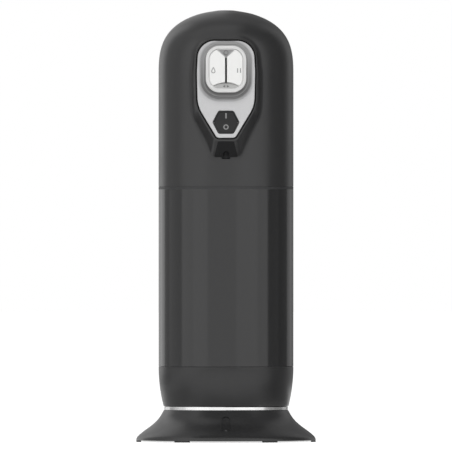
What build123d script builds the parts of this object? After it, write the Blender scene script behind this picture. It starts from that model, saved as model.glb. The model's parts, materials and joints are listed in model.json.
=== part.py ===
from build123d import *
import os
from math import asin, atan2, cos, degrees, pi, radians, sin, tan

# Upright soda carbonator of the siphon type, in millimetres.
# +Z is up, the feet stand on z = 0 and the control panel faces -Y.
# From the bottom: a flared base, a body that lifts off it with the water vessel inside,
# a sleeve that turns to lock the head, and a domed head with the gas and water valves.

os.makedirs("parts", exist_ok=True)

# ------------------------------------------------------------ outer form
total_height = 430.0
body_radius = 67.2
base_radius = 89.5
waist_inset = 5.6
wall = 2.4
ring_low = 31.6
ring_height = 3.8
ring_width = 6.0
edge_round = 0.5
skirt_height = 39.0
skirt_draft = 4.5
band_height = 2.7
dome_height = 67.6
dome_flatness = 3.27
dome_fullness = 1.91

# ------------------------------------------------------------ clearances
dock_gap = 0.3
turn_gap = 0.4
seam_gap = 0.25
key_gap = 0.15
fit_gap = 0.3
press_gap = 0.02
running_gap = 0.05

# ------------------------------------------------------------ control panel
panel_tilt = 10.4
panel_drop = 79.1
panel_rise = 96.4
panel_stand = 5.1
panel_corners = ((27.3, 48.9), (28.95, 17.9), (28.25, -16.9), (9.05, -49.2))
panel_radii = (17.2, 80.0, 34.0, 4.6)
rim_width = 2.6
rim_radii = (19.8, 82.6, 36.6, 4.2)
root_corners = ((33.5, 57.8), (40.0, 19.0), (35.0, -27.0), (15.6, -77.0))
root_radii = (24.0, 60.0, 60.0, 9.0)
root_depth = 30.0
root_blend = 8.0
rim_round = 2.0
gasket_width = 1.5
gasket_sink = 0.5
pocket_depth = 2.5
ledge_width = 2.0
ledge_thickness = 2.5
fascia_proud = 0.5
fascia_round = 0.9

# ------------------------------------------------------------ push keys
frame_margin = (3.3, 3.45)
frame_shift = -0.3
frame_radius_step = 3.0
frame_proud = 1.2
frame_depth = 11.5
frame_floor = 1.5
frame_round = 0.7
frame_flange = 2.0
well_margin = (5.0, 5.3)
well_shift = -1.1
well_radius_step = 5.5
well_sink = 1.5
dish_width = 3.0
bead_offset = 2.5
bead_shift = -0.5
bead_thickness = 0.8
key_size = (33.8, 40.3)
key_radius = 11.0
key_centre = 20.5
key_slit = 1.8
key_travel = 1.2
key_back = 4.2
key_front = 0.3
key_round = 0.6
key_corner = 0.9
key_stem_radius = 2.0
key_stem_reach = 12.8
key_stem_place = (9.0, 21.0)
facet_half_width = 9.8
facet_height = 8.8
facet_drop = 2.4
arch_half_width = 14.5
arch_shoulder = 1.6
arch_height = 6.5
board_size = (36.0, 44.0)
board_front = 17.0
board_thickness = 1.5
post_places = ((-14.0, 5.5), (14.0, 5.5), (-14.0, 36.0), (14.0, 36.0))
post_radius = 2.2
screw_radius = 1.0
switch_size = 6.0

# ------------------------------------------------------------ power rocker
rocker_half_width = 13.6
rocker_half_flat = 7.6
rocker_half_height = 11.8
rocker_centre = -33.5
rocker_corner = 3.0
rocker_throw = 12.0
rocker_pivot_depth = 2.0
rocker_depth = 15.0
rocker_wall = 1.1
rocker_gap = 0.3
rocker_proud = 0.3
rocker_floor = 1.5
rocker_under = 2.2
rocker_flange = 1.2
rocker_pin_radius = 1.0

# ------------------------------------------------------------ water vessel
vessel_radius = 50.0
vessel_wall = 1.2
vessel_rise = 11.3
vessel_corner = 9.0
shoulder_height = 28.0
neck_bore = 24.0
neck_length = 19.0
neck_drop = 8.4
bead_width = 2.6
bead_height = 3.0
stud_radius = 3.0
stud_length = 13.0
nut_radius = 6.0
nut_height = 4.0
seat_thickness = 4.0
seat_bore = 34.0
seat_lip = 6.0
seat_wall = 1.8
skirt_floor = 3.0
upstand_height = 9.0
upstand_foot = 7.0
glide_width = 2.7
glide_height = 7.0

# ------------------------------------------------------------ lock between sleeve and head
lock_wall = 3.0
collar_thickness = 4.5
collar_hub = 8.0
collar_hub_drop = 10.0
collar_hole_radius = 6.0
collar_hole_place = 46.0
collar_hole_count = 6
lock_lip = 2.7
lip_width = 3.0
lug_count = 3
lug_half_angle = 12.0
lug_start = 90.0
lock_turn = 45.0
lug_reach = 2.8
lug_gap = 3.0
lug_height = 3.0
tab_height = 3.2

# ------------------------------------------------------------ head chassis and stopper
chassis_rise = 3.5
chassis_thickness = 3.0
chassis_hub = 17.0
chassis_skirt = 3.0
boss_count = 3
boss_start = 30.0
boss_radius = 4.2
boss_height = 12.0
boss_inset = 3.4
head_screw_head = 2.3
head_screw_shank = 1.25
plug_depth = 10.5
flange_height = 3.6
riser_radius = 18.0
riser_wall = 2.0
seal_radius = 1.15
seal_height = 3.0
tube_radius = 3.0
tube_bore = 2.0
tube_place = 9.0
tube_rise = 7.0
dip_gap = 5.0
sparger_rise = 28.0
sparger_radius = 5.5
sparger_length = 20.0
sparger_socket = 6.0
sparger_floor = 3.0

# ------------------------------------------------------------ gas cartridge, regulator, relief valve
charger_radius = 9.0
charger_rise = 1.0
charger_length = 65.0
charger_neck_radius = 3.6
charger_neck_length = 7.0
charger_cone = 9.0
charger_foot_round = 5.4
bay_inset = 22.8
bay_wall = 2.4
bay_gap = 0.6
bay_drop = 6.0
bay_flange = 4.0
cap_grip = 3.5
cap_rim = 2.5
cap_grip_thickness = 2.4
regulator_radius = 14.0
regulator_height = 26.0
regulator_knob = 7.0
regulator_knob_height = 5.0
regulator_port = 15.0
pin_radius = 0.9
pin_length = 7.0
relief_radius = 5.0
relief_bore = 3.6
relief_place = -6.5
relief_height = 20.0
relief_end = 1.5
relief_head = 4.0
relief_stem = 4.0
relief_spring_radius = 2.4
relief_spring_wire = 0.4

# ------------------------------------------------------------ gas and water valves
valve_place = (29.0, 4.0)
valve_half = 10.0
valve_block_height = 12.0
coil_radius = 11.0
coil_height = 34.0
coil_cap = 3.0
plunger_radius = 4.6
plunger_length = 18.0
plunger_seat = 3.7
valve_spring_radius = 3.0
valve_spring_wire = 0.6
port_height = 6.0
port_length = 4.0
hose_radius = 2.5
hose_bore = 1.6
hose_bend = 0.45
port_run = 14.0
supply_route = ((14.0, 0.0, 0.0), (17.0, -3.0, -25.0), (9.0, -8.0, -52.0))
feed_route = ((4.0, -36.0, 11.0), (0.0, -15.0, 24.0), (0.0, 0.0, 19.0))
lift_route = ((0.0, 0.0, 18.0), (-6.0, 18.0, 23.0))
lift_drop = ((1.0, 15.0, 17.0), (0.0, 15.0, 0.0))
pour_bend = (9.0, -25.0, 14.0)

# ------------------------------------------------------------ spout
spout_radius = 5.0
spout_bore = 3.0
spout_stand = 2.8
spout_height = 43.5
barb_drop = 5.0
barb_length = 9.0
insert_top_half = 8.0
insert_low_half = 12.0
insert_half_length = 10.2
insert_depth = 0.8
insert_round = 1.5

# ------------------------------------------------------------ base
foot_count = 6
foot_height = 1.4
foot_width = 4.5
foot_inset = 0.1
foot_half_angle = 5.0
foot_stem = 2.6
foot_stem_radius = 1.45
flare_shares = ((0, 1), (0.12, 0.81), (0.39, 0.54), (0.72, 0.316), (0.94, 0.146), (1, 0))
flare_lean = 0.6
deck_overhang = 0.4
rim_flat = 5.0
cover_gap = 0.4
cover_thickness = 2.4
deck_thickness = 2.4
base_screw_count = 4
base_screw_inset = 39.5
base_boss_radius = 4.0
base_screw_head = 3.1
base_screw_shank = 1.25
base_screw_length = 12.0
dock_well_radius = 22.0
dock_well_depth = 8.0
dock_plug_radius = 18.0
dock_plug_rise = 1.3
dock_plate = 2.0
contact_radius = 1.6
contact_spacing = 7.0
contact_count = 4
contact_pad = 0.4
dock_board_size = (32.0, 24.0)
dock_board_drop = 4.0
dock_board_thickness = 1.6
ballast_inner = 28.0
ballast_gap = 1.0
ballast_height = 8.0
inlet_width = 14.0
inlet_height = 11.0
inlet_set_back = 16.1
inlet_length = 15.4
inlet_low = 6.0
inlet_bore = 3.2
inlet_pin = 1.0
inlet_depth = 11.0
inlet_wall = 1.6
window_half_width = 4.3
window_low = 11.3
window_high = 25.7
window_sink = 0.6
window_gap = 0.1

# ------------------------------------------------------------ places worked out from the sizes above
waist_radius = body_radius - waist_inset
ring_high = ring_low + ring_height
skirt_low = ring_high + dock_gap
skirt_high = skirt_low + skirt_height
sleeve_low = skirt_high + seam_gap
panel_height = total_height - panel_drop
head_low = panel_height - panel_rise
band_high = head_low - seam_gap
sleeve_high = band_high - band_height
panel_reach = body_radius + panel_stand
inner_radius = body_radius - wall
collar_radius = inner_radius - lock_wall
lock_bore = collar_radius + turn_gap
lug_inner = collar_radius - lug_reach
neck_radius = neck_bore + vessel_wall
neck_high = sleeve_high - neck_drop
neck_foot = neck_high - neck_length
vessel_shoulder = neck_foot - shoulder_height
vessel_low = skirt_low + vessel_rise
collar_high = neck_high - bead_height
collar_low = collar_high - collar_thickness
lug_low = collar_high + lug_gap
floor_high = vessel_low - seat_thickness
floor_low = floor_high - skirt_floor
chassis_low = head_low + chassis_rise
chassis_high = chassis_low + chassis_thickness
tube_high = chassis_high + tube_rise
dip_low = vessel_low + dip_gap
gas_tube_low = vessel_low + sparger_rise
flange_low = neck_high + fit_gap
flange_high = flange_low + flange_height
seal_place = collar_low - 1.0
relief_low = flange_high
relief_seat = relief_low + relief_end
relief_high = relief_low + relief_height
charger_low = chassis_high + charger_rise
bay_place = inner_radius - bay_inset
bay_bore = charger_radius + bay_gap
bay_radius = bay_bore + bay_wall
bay_low = chassis_low - bay_drop
bay_high = charger_low + charger_length + 1.0
block_high = chassis_high + valve_block_height
plunger_low = block_high - plunger_seat
plunger_high = plunger_low + plunger_length
spout_place = -body_radius - spout_stand
spout_high = head_low + spout_height
spout_barb = spout_high - barb_drop
base_screw_place = base_radius - base_screw_inset
inlet_face = base_radius - inlet_set_back
inlet_back = inlet_face - inlet_length
ballast_outer = inlet_back - ballast_gap
cover_low = foot_height + cover_gap
cover_high = cover_low + cover_thickness
deck_low = ring_low - deck_thickness
well_low = ring_low - dock_well_depth
well_floor = well_low - wall
board_low = well_floor - dock_board_drop
board_high = board_low + dock_board_thickness
plate_low = well_low + dock_gap + dock_plug_rise + contact_pad
frame_size = (key_size[0] + 2 * frame_margin[0], key_size[1] + 2 * frame_margin[1])
frame_radius = key_radius + frame_radius_step
frame_centre = key_centre + frame_shift
well_size = (frame_size[0] + 2 * well_margin[0], frame_size[1] + 2 * well_margin[1])
well_radius = frame_radius + well_radius_step
well_centre = frame_centre + well_shift
tilt_sin = sin(radians(panel_tilt))
tilt_cos = cos(radians(panel_tilt))

panel = Plane(
    origin=(0, -panel_reach, panel_height),
    x_dir=(1, 0, 0),
    z_dir=(0, -tilt_cos, tilt_sin),
)
panel_side = Plane(origin=panel.origin, x_dir=panel.y_dir, z_dir=panel.x_dir)


# ============================================================ shape helpers
def rod(radius, low, high, place=(0, 0)):
    """An upright cylinder between two heights."""
    centred = (Align.CENTER, Align.CENTER, Align.MIN)
    return Pos(place[0], place[1], low) * Cylinder(radius, high - low, align=centred)


def pipe(bore, radius, low, high, place=(0, 0)):
    """An upright cylinder with a hole right through it."""
    return rod(radius, low, high, place) - rod(bore, low - 1, high + 1, place)


def cone(low_radius, high_radius, low, high, place=(0, 0)):
    """An upright cone between two heights."""
    centred = (Align.CENTER, Align.CENTER, Align.MIN)
    return Pos(place[0], place[1], low) * Cone(low_radius, high_radius, high - low, align=centred)


def block(x, y, z):
    """A box from its three pairs of limits."""
    cornered = (Align.MIN, Align.MIN, Align.MIN)
    return Pos(x[0], y[0], z[0]) * Box(x[1] - x[0], y[1] - y[0], z[1] - z[0], align=cornered)


def lathe(edges):
    """Turn a closed outline in (radius, height) about the upright axis."""
    return revolve(Plane.XZ * make_face(edges), Axis.Z)


def ring_bar(inner, outer, low, high, rounded_corners=None):
    """A ring of rectangular section, some of its outer edges rounded."""
    section = Pos((inner + outer) / 2, (low + high) / 2) * Rectangle(outer - inner, high - low)
    edge = section.vertices().group_by(Axis.X)[-1]
    if rounded_corners == "low":
        edge = edge.group_by(Axis.Y)[0]
    return revolve(Plane.XZ * fillet(edge, edge_round), Axis.Z)


def ring_sector(inner, outer, low, high, middle, half_angle):
    """A piece of a flat ring, half_angle to each side of its middle direction."""
    reach = outer * 2
    spread = reach * tan(radians(half_angle))
    wedge = make_face(Polyline((0, 0), (reach, -spread), (reach, spread), close=True).edges())
    cutter = Pos(0, 0, low) * Rot(0, 0, middle) * extrude(wedge, high - low)
    return pipe(inner, outer, low, high) & cutter


def around(count, radius, start=0.0):
    """Places evenly spaced on a circle."""
    angles = [radians(start) + 2 * pi * i / count for i in range(count)]
    return [(radius * cos(a), radius * sin(a)) for a in angles]


def spring(radius, wire, low, high, turns, place=(0, 0)):
    """A compression spring standing between two heights."""
    tall = high - low - 2 * wire
    path = Pos(place[0], place[1], low + wire) * Helix(tall / turns, tall, radius)
    section = Plane(origin=path @ 0, z_dir=path % 0) * Circle(wire)
    return sweep(section, path=path, is_frenet=True)


def hose(points):
    """A flexible tube along straight runs joined by arcs as large as the runs allow."""
    path_points = [Vector(*p) for p in points]
    radii = []
    for before, here, after in zip(path_points, path_points[1:], path_points[2:]):
        turn = (here - before).get_angle(after - here)
        run = min((here - before).length, (after - here).length)
        radii.append(hose_bend * run / tan(radians(turn) / 2))
    path = FilletPolyline(*path_points, radius=radii)
    section = Plane(origin=path @ 0, z_dir=path % 0) * (Circle(hose_radius) - Circle(hose_bore))
    return sweep(section, path=path)


def save(name, shape):
    """Write one sub-part."""
    export_step(Compound(children=list(shape.solids())), f"parts/{name}.step")


# ============================================================ outlines on the panel
def on_panel(outline, low, high):
    """Extrude an outline drawn on the panel, between two heights above it."""
    return extrude(panel.offset(low) * outline, high - low)


def softened(outline, low, high, radius):
    """As on_panel, with the outer edges rounded."""
    slab = Pos(0, 0, low) * extrude(outline, high - low)
    return panel.location * fillet(slab.edges().group_by(Axis.Z)[-1], radius)


def from_side(points, half_width):
    """Extrude an outline in (up the panel, out of the panel) to both sides of its middle."""
    outline = Polyline(*[(up, -out) for up, out in points], close=True)
    if panel_side.y_dir.dot(panel.z_dir) > 0:
        outline = Polyline(*points, close=True)
    return extrude(panel_side * make_face(outline.edges()), half_width, both=True)


def both_sides(half):
    """Full outline, anticlockwise from top left, from the corners of its right half."""
    return [(-x, y) for x, y in half] + list(reversed(half))


def grown(corners, amount):
    """Corners of the outline whose sides all lie amount further out."""
    moved = []
    for i, (x, y) in enumerate(corners):
        before = Vector(x - corners[i - 1][0], y - corners[i - 1][1]).normalized()
        ahead = corners[(i + 1) % len(corners)]
        after = Vector(ahead[0] - x, ahead[1] - y).normalized()
        out_before = Vector(before.Y, -before.X)
        out_after = Vector(after.Y, -after.X)
        shift = (out_before + out_after) * (amount / (1 + out_before.dot(out_after)))
        moved.append((x + shift.X, y + shift.Y))
    return moved


def shield(half_corners, half_radii, amount=0.0, radius_change=0.0):
    """A symmetric face with rounded corners, grown by amount on all sides."""
    radii = [max(r + radius_change, edge_round) for r in (*half_radii, *reversed(half_radii))]
    corners = grown(both_sides(half_corners), amount)
    return make_face(FilletPolyline(*corners, radius=radii, close=True).edges())


def panel_face(amount):
    """The fascia's outline, grown by amount."""
    return shield(panel_corners, panel_radii, amount, amount)


def rounded(size, radius, centre, amount=0.0):
    """A rounded rectangle on the panel, grown by amount on all sides."""
    grow = 2 * amount
    return Pos(0, centre) * RectangleRounded(size[0] + grow, size[1] + grow, radius + amount)


def key_zone(amount=0.0):
    """The outline inside the key frame."""
    return rounded(key_size, key_radius, key_centre, amount)


def frame_face(amount=0.0):
    """The outline of the key frame."""
    return rounded(frame_size, frame_radius, frame_centre, amount)


def hexagon(amount=0.0):
    """The outline of the power rocker, grown by amount on all sides."""
    half = (
        (rocker_half_flat, rocker_half_height),
        (rocker_half_width, 0),
        (rocker_half_flat, -rocker_half_height),
    )
    return Pos(0, rocker_centre) * shield(half, (rocker_corner,) * 3, amount, amount)


def top_facet(amount=0.0):
    """Triangle between the upper ends of the keys."""
    half = facet_half_width
    corners = [(-half, 0), (0, -facet_height), (half, 0), (half, half), (-half, half)]
    face = make_face(Polyline(*grown(corners, amount), close=True).edges())
    return Pos(0, key_centre + key_size[1] / 2) * face


def low_facet(amount=0.0):
    """Low arch between the lower ends of the keys."""
    low = key_centre - key_size[1] / 2
    half = arch_half_width + amount
    spring_line = low + arch_shoulder
    arch = ThreePointArc((-half, spring_line), (0, low + arch_height + amount), (half, spring_line))
    rest = Polyline((half, spring_line), (half, low - half), (-half, low - half), (-half, spring_line))
    return make_face([*arch.edges(), *rest.edges()])


# ============================================================ turned outlines
def dome_edge(radius, height, top):
    """Edge of the dome from its widest circle to its top."""
    steps = 9
    points = []
    for i in range(steps):
        turn = pi / 2 * i / steps
        across = radius * cos(turn) ** (2 / dome_fullness)
        up = height * sin(turn) ** (2 / dome_flatness)
        points.append((across, top - height + up))
    return Spline(*points, (0.0, top), tangents=[(0, 1), (-1, 0)])


def head_form(inset):
    """The head without its pod, lying inset inside its outside."""
    radius = body_radius - inset
    height = dome_height - inset
    top = total_height - inset
    spring_line = top - height
    return lathe(
        [
            Line((0, head_low), (radius, head_low)),
            Line((radius, head_low), (radius, spring_line)),
            dome_edge(radius, height, top),
            Line((0, top), (0, head_low)),
        ]
    )


def flare_form(inset):
    """The base from its waist to its rim, lying inset inside its outside."""
    rim = base_radius - inset
    neck = waist_radius + deck_overhang - inset
    low = foot_height
    high = ring_low - inset
    points = [(neck + (rim - neck) * out, low + (high - low) * up) for out, up in flare_shares]
    return lathe(
        [
            Spline(*points, tangents=[(flare_lean, -1), (0, -1)]),
            Line((rim, low), (0, low)),
            Line((0, low), (0, high)),
            Line((0, high), (neck, high)),
        ]
    )


def skirt_form(inset):
    """The tapering lower body, lying inset inside its outside."""
    top = (body_radius - inset, skirt_high)
    low = (top[0] - skirt_draft - deck_overhang, skirt_low)
    drop = top[0] - low[0]
    tall = top[1] - low[1]
    bend = (drop**2 + tall**2) / (2 * drop)
    half = asin(tall / bend) / 2
    middle = (top[0] - bend * (1 - cos(half)), top[1] - bend * sin(half))
    return lathe(
        [
            Line((0, top[1]), top),
            ThreePointArc(top, middle, low),
            Line(low, (0, low[1])),
            Line((0, low[1]), (0, top[1])),
        ]
    )


def vessel_form(inset):
    """The vessel with its neck, lying inset inside its outside."""
    side = vessel_radius - inset
    neck = neck_radius - inset
    low = vessel_low + inset
    bend = vessel_corner - inset
    part = 1 - cos(pi / 4)
    bow = sin(pi / 4)
    shoulder = (neck + (side - neck) * bow, vessel_shoulder + shoulder_height * bow)
    return lathe(
        [
            Line((0, low), (side - bend, low)),
            ThreePointArc(
                (side - bend, low),
                (side - bend * part, low + bend * part),
                (side, low + bend),
            ),
            Line((side, low + bend), (side, vessel_shoulder)),
            Spline(
                (side, vessel_shoulder),
                (shoulder[0], shoulder[1] - inset),
                (neck, neck_foot - inset),
                tangents=[(0, 1), (-1, 0.25)],
            ),
            Line((neck, neck_foot - inset), (neck, neck_high + inset)),
            Line((neck, neck_high + inset), (0, neck_high + inset)),
            Line((0, neck_high + inset), (0, low)),
        ]
    )


# ============================================================ base
def base_bosses():
    return around(base_screw_count, base_screw_place, 45.0)


def foot_places():
    return around(foot_count, base_radius - foot_inset - foot_width / 2)


def contact_places():
    """Centres of the power contacts, in a row across the dock."""
    first = -contact_spacing * (contact_count - 1) / 2
    return [(first + contact_spacing * i, 0) for i in range(contact_count)]


def inlet_box(amount, back, front):
    """Box of the power inlet's section between two depths."""
    half = inlet_width / 2 + amount
    return block((-half, half), (back, front), (inlet_low - amount, inlet_low + inlet_height + amount))


def window_prism(amount):
    """Arch-headed prism through the front of the base."""
    half = window_half_width - amount
    spring_line = window_high - window_half_width
    low = window_low + amount
    sides = Polyline((-half, spring_line), (-half, low), (half, low), (half, spring_line))
    arch = ThreePointArc((half, spring_line), (0, spring_line + half), (-half, spring_line))
    return extrude(Plane.XZ * make_face([*sides.edges(), *arch.edges()]), base_radius + 1)


def base_shell():
    hollow = flare_form(wall) - rod(base_radius, deck_low, ring_low)
    shell = flare_form(0) - hollow
    shell += pipe(base_radius - rim_flat, base_radius - wall / 2, foot_height, cover_low + wall)
    shell += rod(dock_well_radius + wall, well_floor, deck_low + 1)
    shell += inlet_box(inlet_wall, inlet_back, base_radius) & flare_form(0)
    shell -= rod(dock_well_radius, well_low, ring_low + 1)
    shell -= inlet_box(running_gap, inlet_back - 1, base_radius + 1)
    shell -= window_prism(0)
    for place in contact_places():
        shell -= rod(contact_radius + turn_gap, well_floor - 1, well_low + 1, place)
    for place in foot_places():
        shell -= rod(foot_stem_radius + running_gap, 0, foot_height + foot_stem, place)
    for place in base_bosses():
        shell += rod(base_boss_radius, cover_high, deck_low + 1, place)
        shell -= rod(base_screw_shank, 0, cover_low + base_screw_length, place)
    return shell


def base_cover():
    plate = rod(base_radius - rim_flat - fit_gap, cover_low, cover_high)
    for place in base_bosses():
        plate -= rod(base_screw_shank + fit_gap, 0, cover_high + 1, place)
        plate -= rod(base_screw_head + fit_gap, 0, cover_low + 1, place)
    return plate


def base_screws():
    screws = Part()
    for place in base_bosses():
        screws += rod(base_screw_head, cover_low + running_gap, cover_low + 1, place)
        screws += rod(base_screw_shank, cover_low + 1, cover_low + base_screw_length, place)
    return screws


def foot(number):
    """One rubber pad under the rim, with its stem."""
    outer = base_radius - foot_inset
    middle = degrees(2 * pi) * number / foot_count
    pad = ring_sector(outer - foot_width, outer, 0, foot_height, middle, foot_half_angle)
    stem_high = foot_height + foot_stem - running_gap
    return pad + rod(foot_stem_radius, foot_height, stem_high, foot_places()[number])


def accent_ring():
    return ring_bar(waist_radius - ring_width, waist_radius, ring_low, ring_high)


def base_ballast():
    ring = pipe(ballast_inner, ballast_outer, cover_high, cover_high + ballast_height)
    for place in base_bosses():
        ring -= rod(base_boss_radius + fit_gap, 0, deck_low, place)
    return ring


def dock_board():
    half_x, half_y = dock_board_size[0] / 2, dock_board_size[1] / 2
    board = block((-half_x, half_x), (-half_y, half_y), (board_low, board_high))
    for place in contact_places():
        board += pipe(contact_radius, contact_radius + 1, board_high, well_floor, place)
    return board


def dock_pins():
    pins = Part()
    for place in contact_places():
        tip = well_low + dock_gap + dock_plug_rise - running_gap
        pins += rod(contact_radius - press_gap, board_high, tip, place)
    return pins


def dc_inlet():
    """Round power socket in a square housing, set back in its pocket."""
    middle = inlet_low + inlet_height / 2
    floor = Plane(origin=(0, inlet_face - inlet_depth, middle), z_dir=(0, 1, 0))
    body = inlet_box(0, inlet_back, inlet_face)
    body -= extrude(floor * Circle(inlet_bore), inlet_depth + 1)
    return body + extrude(floor * Circle(inlet_pin), inlet_depth - 1)


def status_window():
    skin = flare_form(window_sink) - flare_form(wall)
    front = block((-base_radius, base_radius), (-base_radius, 0), (0, ring_low))
    return skin & window_prism(window_gap) & front


# ============================================================ body
def lower_skirt():
    """Lower wall, the floor that carries the vessel, and the plug that enters the dock."""
    shell = skirt_form(0)
    shell -= skirt_form(wall) & rod(body_radius, floor_high, skirt_high + 1)
    shell -= skirt_form(wall) & rod(body_radius, 0, floor_low)
    shell += pipe(dock_plug_radius - wall, dock_plug_radius, well_low + dock_plug_rise, floor_low + 1)
    shell += rod(dock_plug_radius, plate_low, plate_low + dock_plate)
    shell -= rod(stud_radius + fit_gap, floor_low - 1, floor_high + 1)
    upstand = inner_radius - glide_width
    web_low = skirt_high - upstand_foot
    shell += pipe(upstand - wall, upstand, web_low, skirt_high + upstand_height)
    shell += pipe(upstand - wall, inner_radius + edge_round, web_low, web_low + wall)
    return shell


def glide_ring():
    """Low-friction ring on which the sleeve turns."""
    low = skirt_high + 1.0
    return pipe(inner_radius - glide_width, inner_radius - turn_gap, low, low + glide_height)


def body_contacts():
    pads = Part()
    for place in contact_places():
        pads += rod(contact_radius, plate_low - contact_pad, plate_low, place)
    return pads


def vessel_seat():
    """Rubber cup under the vessel."""
    cup = pipe(seat_bore, vessel_radius + seat_wall, floor_high, vessel_low + seat_lip)
    return cup - rod(vessel_radius, vessel_low, vessel_low + seat_lip + 1)


def vessel():
    shell = vessel_form(0) - vessel_form(vessel_wall)
    shell += pipe(neck_bore, neck_radius + bead_width, collar_high, neck_high)
    return shell + rod(stud_radius, vessel_low - stud_length, vessel_low + vessel_wall / 2)


def vessel_nut():
    nut = Pos(0, 0, floor_low - nut_height) * extrude(RegularPolygon(nut_radius, 6), nut_height)
    return nut - rod(stud_radius + press_gap, 0, floor_low + 1)


def neck_collar():
    """Disc under the neck bead that carries the lock ring."""
    bore = neck_radius + fit_gap
    collar = pipe(bore, collar_radius, collar_low, collar_high)
    collar += pipe(bore, bore + collar_hub, collar_low - collar_hub_drop, collar_low + 1)
    for place in around(collar_hole_count, collar_hole_place):
        collar -= rod(collar_hole_radius, collar_low - 1, collar_high + 1, place)
    return collar


# ============================================================ sleeve
def outer_sleeve():
    return ring_bar(inner_radius + running_gap, body_radius, sleeve_low, sleeve_high, "low")


def lock_ring():
    """Ring at the sleeve's top whose tabs pass over the head's lugs."""
    lip_low = collar_low - fit_gap - lock_lip
    tab_low = lug_low + lug_height + fit_gap
    ring = pipe(lock_bore, inner_radius, lip_low, band_high)
    ring += pipe(collar_radius - lip_width, lock_bore + 1, lip_low, lip_low + lock_lip)
    ring += pipe(lock_bore, body_radius, sleeve_high, band_high)
    for i in range(lug_count):
        middle = lug_start - lock_turn + degrees(2 * pi) * i / lug_count
        inner = lug_inner + turn_gap
        ring += ring_sector(inner, lock_bore + 1, tab_low, tab_low + tab_height, middle, lug_half_angle)
    return ring


# ============================================================ head: housing
def pod(inset):
    """The raised housing of the control panel, from its rim back into the head."""
    rim = panel * shield(panel_corners, rim_radii, rim_width - inset, -inset)
    root = panel.offset(-root_depth) * shield(root_corners, root_radii, -inset, -inset)
    return loft([rim, root], ruled=True)


def chin_plane():
    """Plane of the pod's underside, its normal pointing out, its x along X."""
    rim_down = panel_corners[-1][1] - rim_width
    root_down = root_corners[-1][1]
    rim_edge = panel.from_local_coords((0, rim_down, 0))
    root_edge = panel.from_local_coords((0, root_down, -root_depth))
    slope = atan2(rim_edge.Z - root_edge.Z, root_edge.Y - rim_edge.Y)
    along = (-body_radius - rim_edge.Y) / cos(slope) / 2
    centre = rim_edge + Vector(0, cos(slope), -sin(slope)) * along
    return Plane(origin=centre, x_dir=(1, 0, 0), z_dir=(0, -sin(slope), -cos(slope)))


def chin_face(amount):
    """The spout insert's outline on the chin, wider at its lower end."""
    plane = chin_plane()
    up = insert_half_length - amount
    if plane.y_dir.Z < 0:
        up = -up
    top, low = insert_top_half - amount, insert_low_half - amount
    corners = [(-top, up), (-low, -up), (low, -up), (top, up)]
    return make_face(FilletPolyline(*corners, radius=insert_round, close=True).edges())


def boss_places():
    return around(boss_count, inner_radius - boss_inset, boss_start)


def head_shell():
    head = head_form(0)
    nose = pod(0)
    rim = [edge for edge in nose.edges() if abs(panel.to_local_coords(edge @ 0.5).Z) < 0.001]
    nose = fillet(rim, rim_round)
    shell = head + nose
    root = [
        edge
        for edge in shell.edges()
        if nose.distance_to(edge @ 0.5) < 0.001 and head.distance_to(edge @ 0.5) < 0.001
    ]
    shell = fillet(root, root_blend)
    shell -= head_form(wall)
    shell -= rod(inner_radius, head_low - 1, chassis_high)
    cavity_front = -pocket_depth - ledge_thickness
    whole_face = Rectangle(4 * body_radius, 4 * body_radius)
    shell -= pod(wall) & on_panel(whole_face, -root_depth, cavity_front)
    shell -= on_panel(panel_face(gasket_width), -pocket_depth, root_depth)
    shell -= on_panel(panel_face(-ledge_width), -root_depth, 0)
    shell -= extrude(chin_plane().offset(-insert_depth) * chin_face(0), insert_depth + 1)
    shell -= rod(spout_radius + running_gap, head_low, spout_high, (0, spout_place)) & pod(-1)
    for place in boss_places():
        shell += rod(boss_radius, chassis_high, chassis_high + boss_height, place) & head_form(wall / 2)
        shell -= rod(head_screw_shank, head_low, chassis_high + boss_height - wall, place)
    return shell


def spout_insert():
    plate = extrude(chin_plane().offset(-insert_depth) * chin_face(running_gap), insert_depth)
    return plate - rod(spout_radius + running_gap, head_low, spout_high, (0, spout_place))


def spout_nozzle():
    """Upright outlet with a side barb for its hose, cut off level with the chin."""
    barb = Plane(origin=(0, spout_place, spout_barb), z_dir=(0, 1, 0))
    reach = spout_radius + barb_length
    tube = rod(spout_radius, head_low, spout_high, (0, spout_place))
    tube += extrude(barb * Circle(hose_radius), reach)
    tube -= rod(spout_bore, head_low - 1, spout_high - wall, (0, spout_place))
    tube -= extrude(barb * Circle(hose_bore), reach + 1)
    below = extrude(chin_plane() * Rectangle(4 * body_radius, 4 * body_radius), 2 * body_radius)
    return tube - below


def head_chassis():
    """Plate across the head, with the skirt whose lugs the sleeve locks."""
    plate = rod(inner_radius - fit_gap, chassis_low, chassis_high)
    plate += pipe(lug_inner - chassis_skirt, lug_inner, lug_low, chassis_low + 1)
    for i in range(lug_count):
        middle = lug_start + degrees(2 * pi) * i / lug_count
        lug_high = lug_low + lug_height
        plate += ring_sector(lug_inner - 1, collar_radius, lug_low, lug_high, middle, lug_half_angle)
    plate -= rod(chassis_hub, chassis_low - 1, chassis_high + 1)
    plate -= rod(bay_radius + fit_gap, chassis_low - 1, chassis_high + 1, (0, bay_place))
    for place in boss_places():
        plate -= rod(head_screw_shank + fit_gap, chassis_low - 1, chassis_high + 1, place)
    return plate


def head_screws():
    screws = Part()
    for place in boss_places():
        screws += rod(head_screw_head, chassis_low - 1.5, chassis_low, place)
        screws += rod(head_screw_shank, chassis_low, chassis_high + boss_height - wall, place)
    return screws


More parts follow.
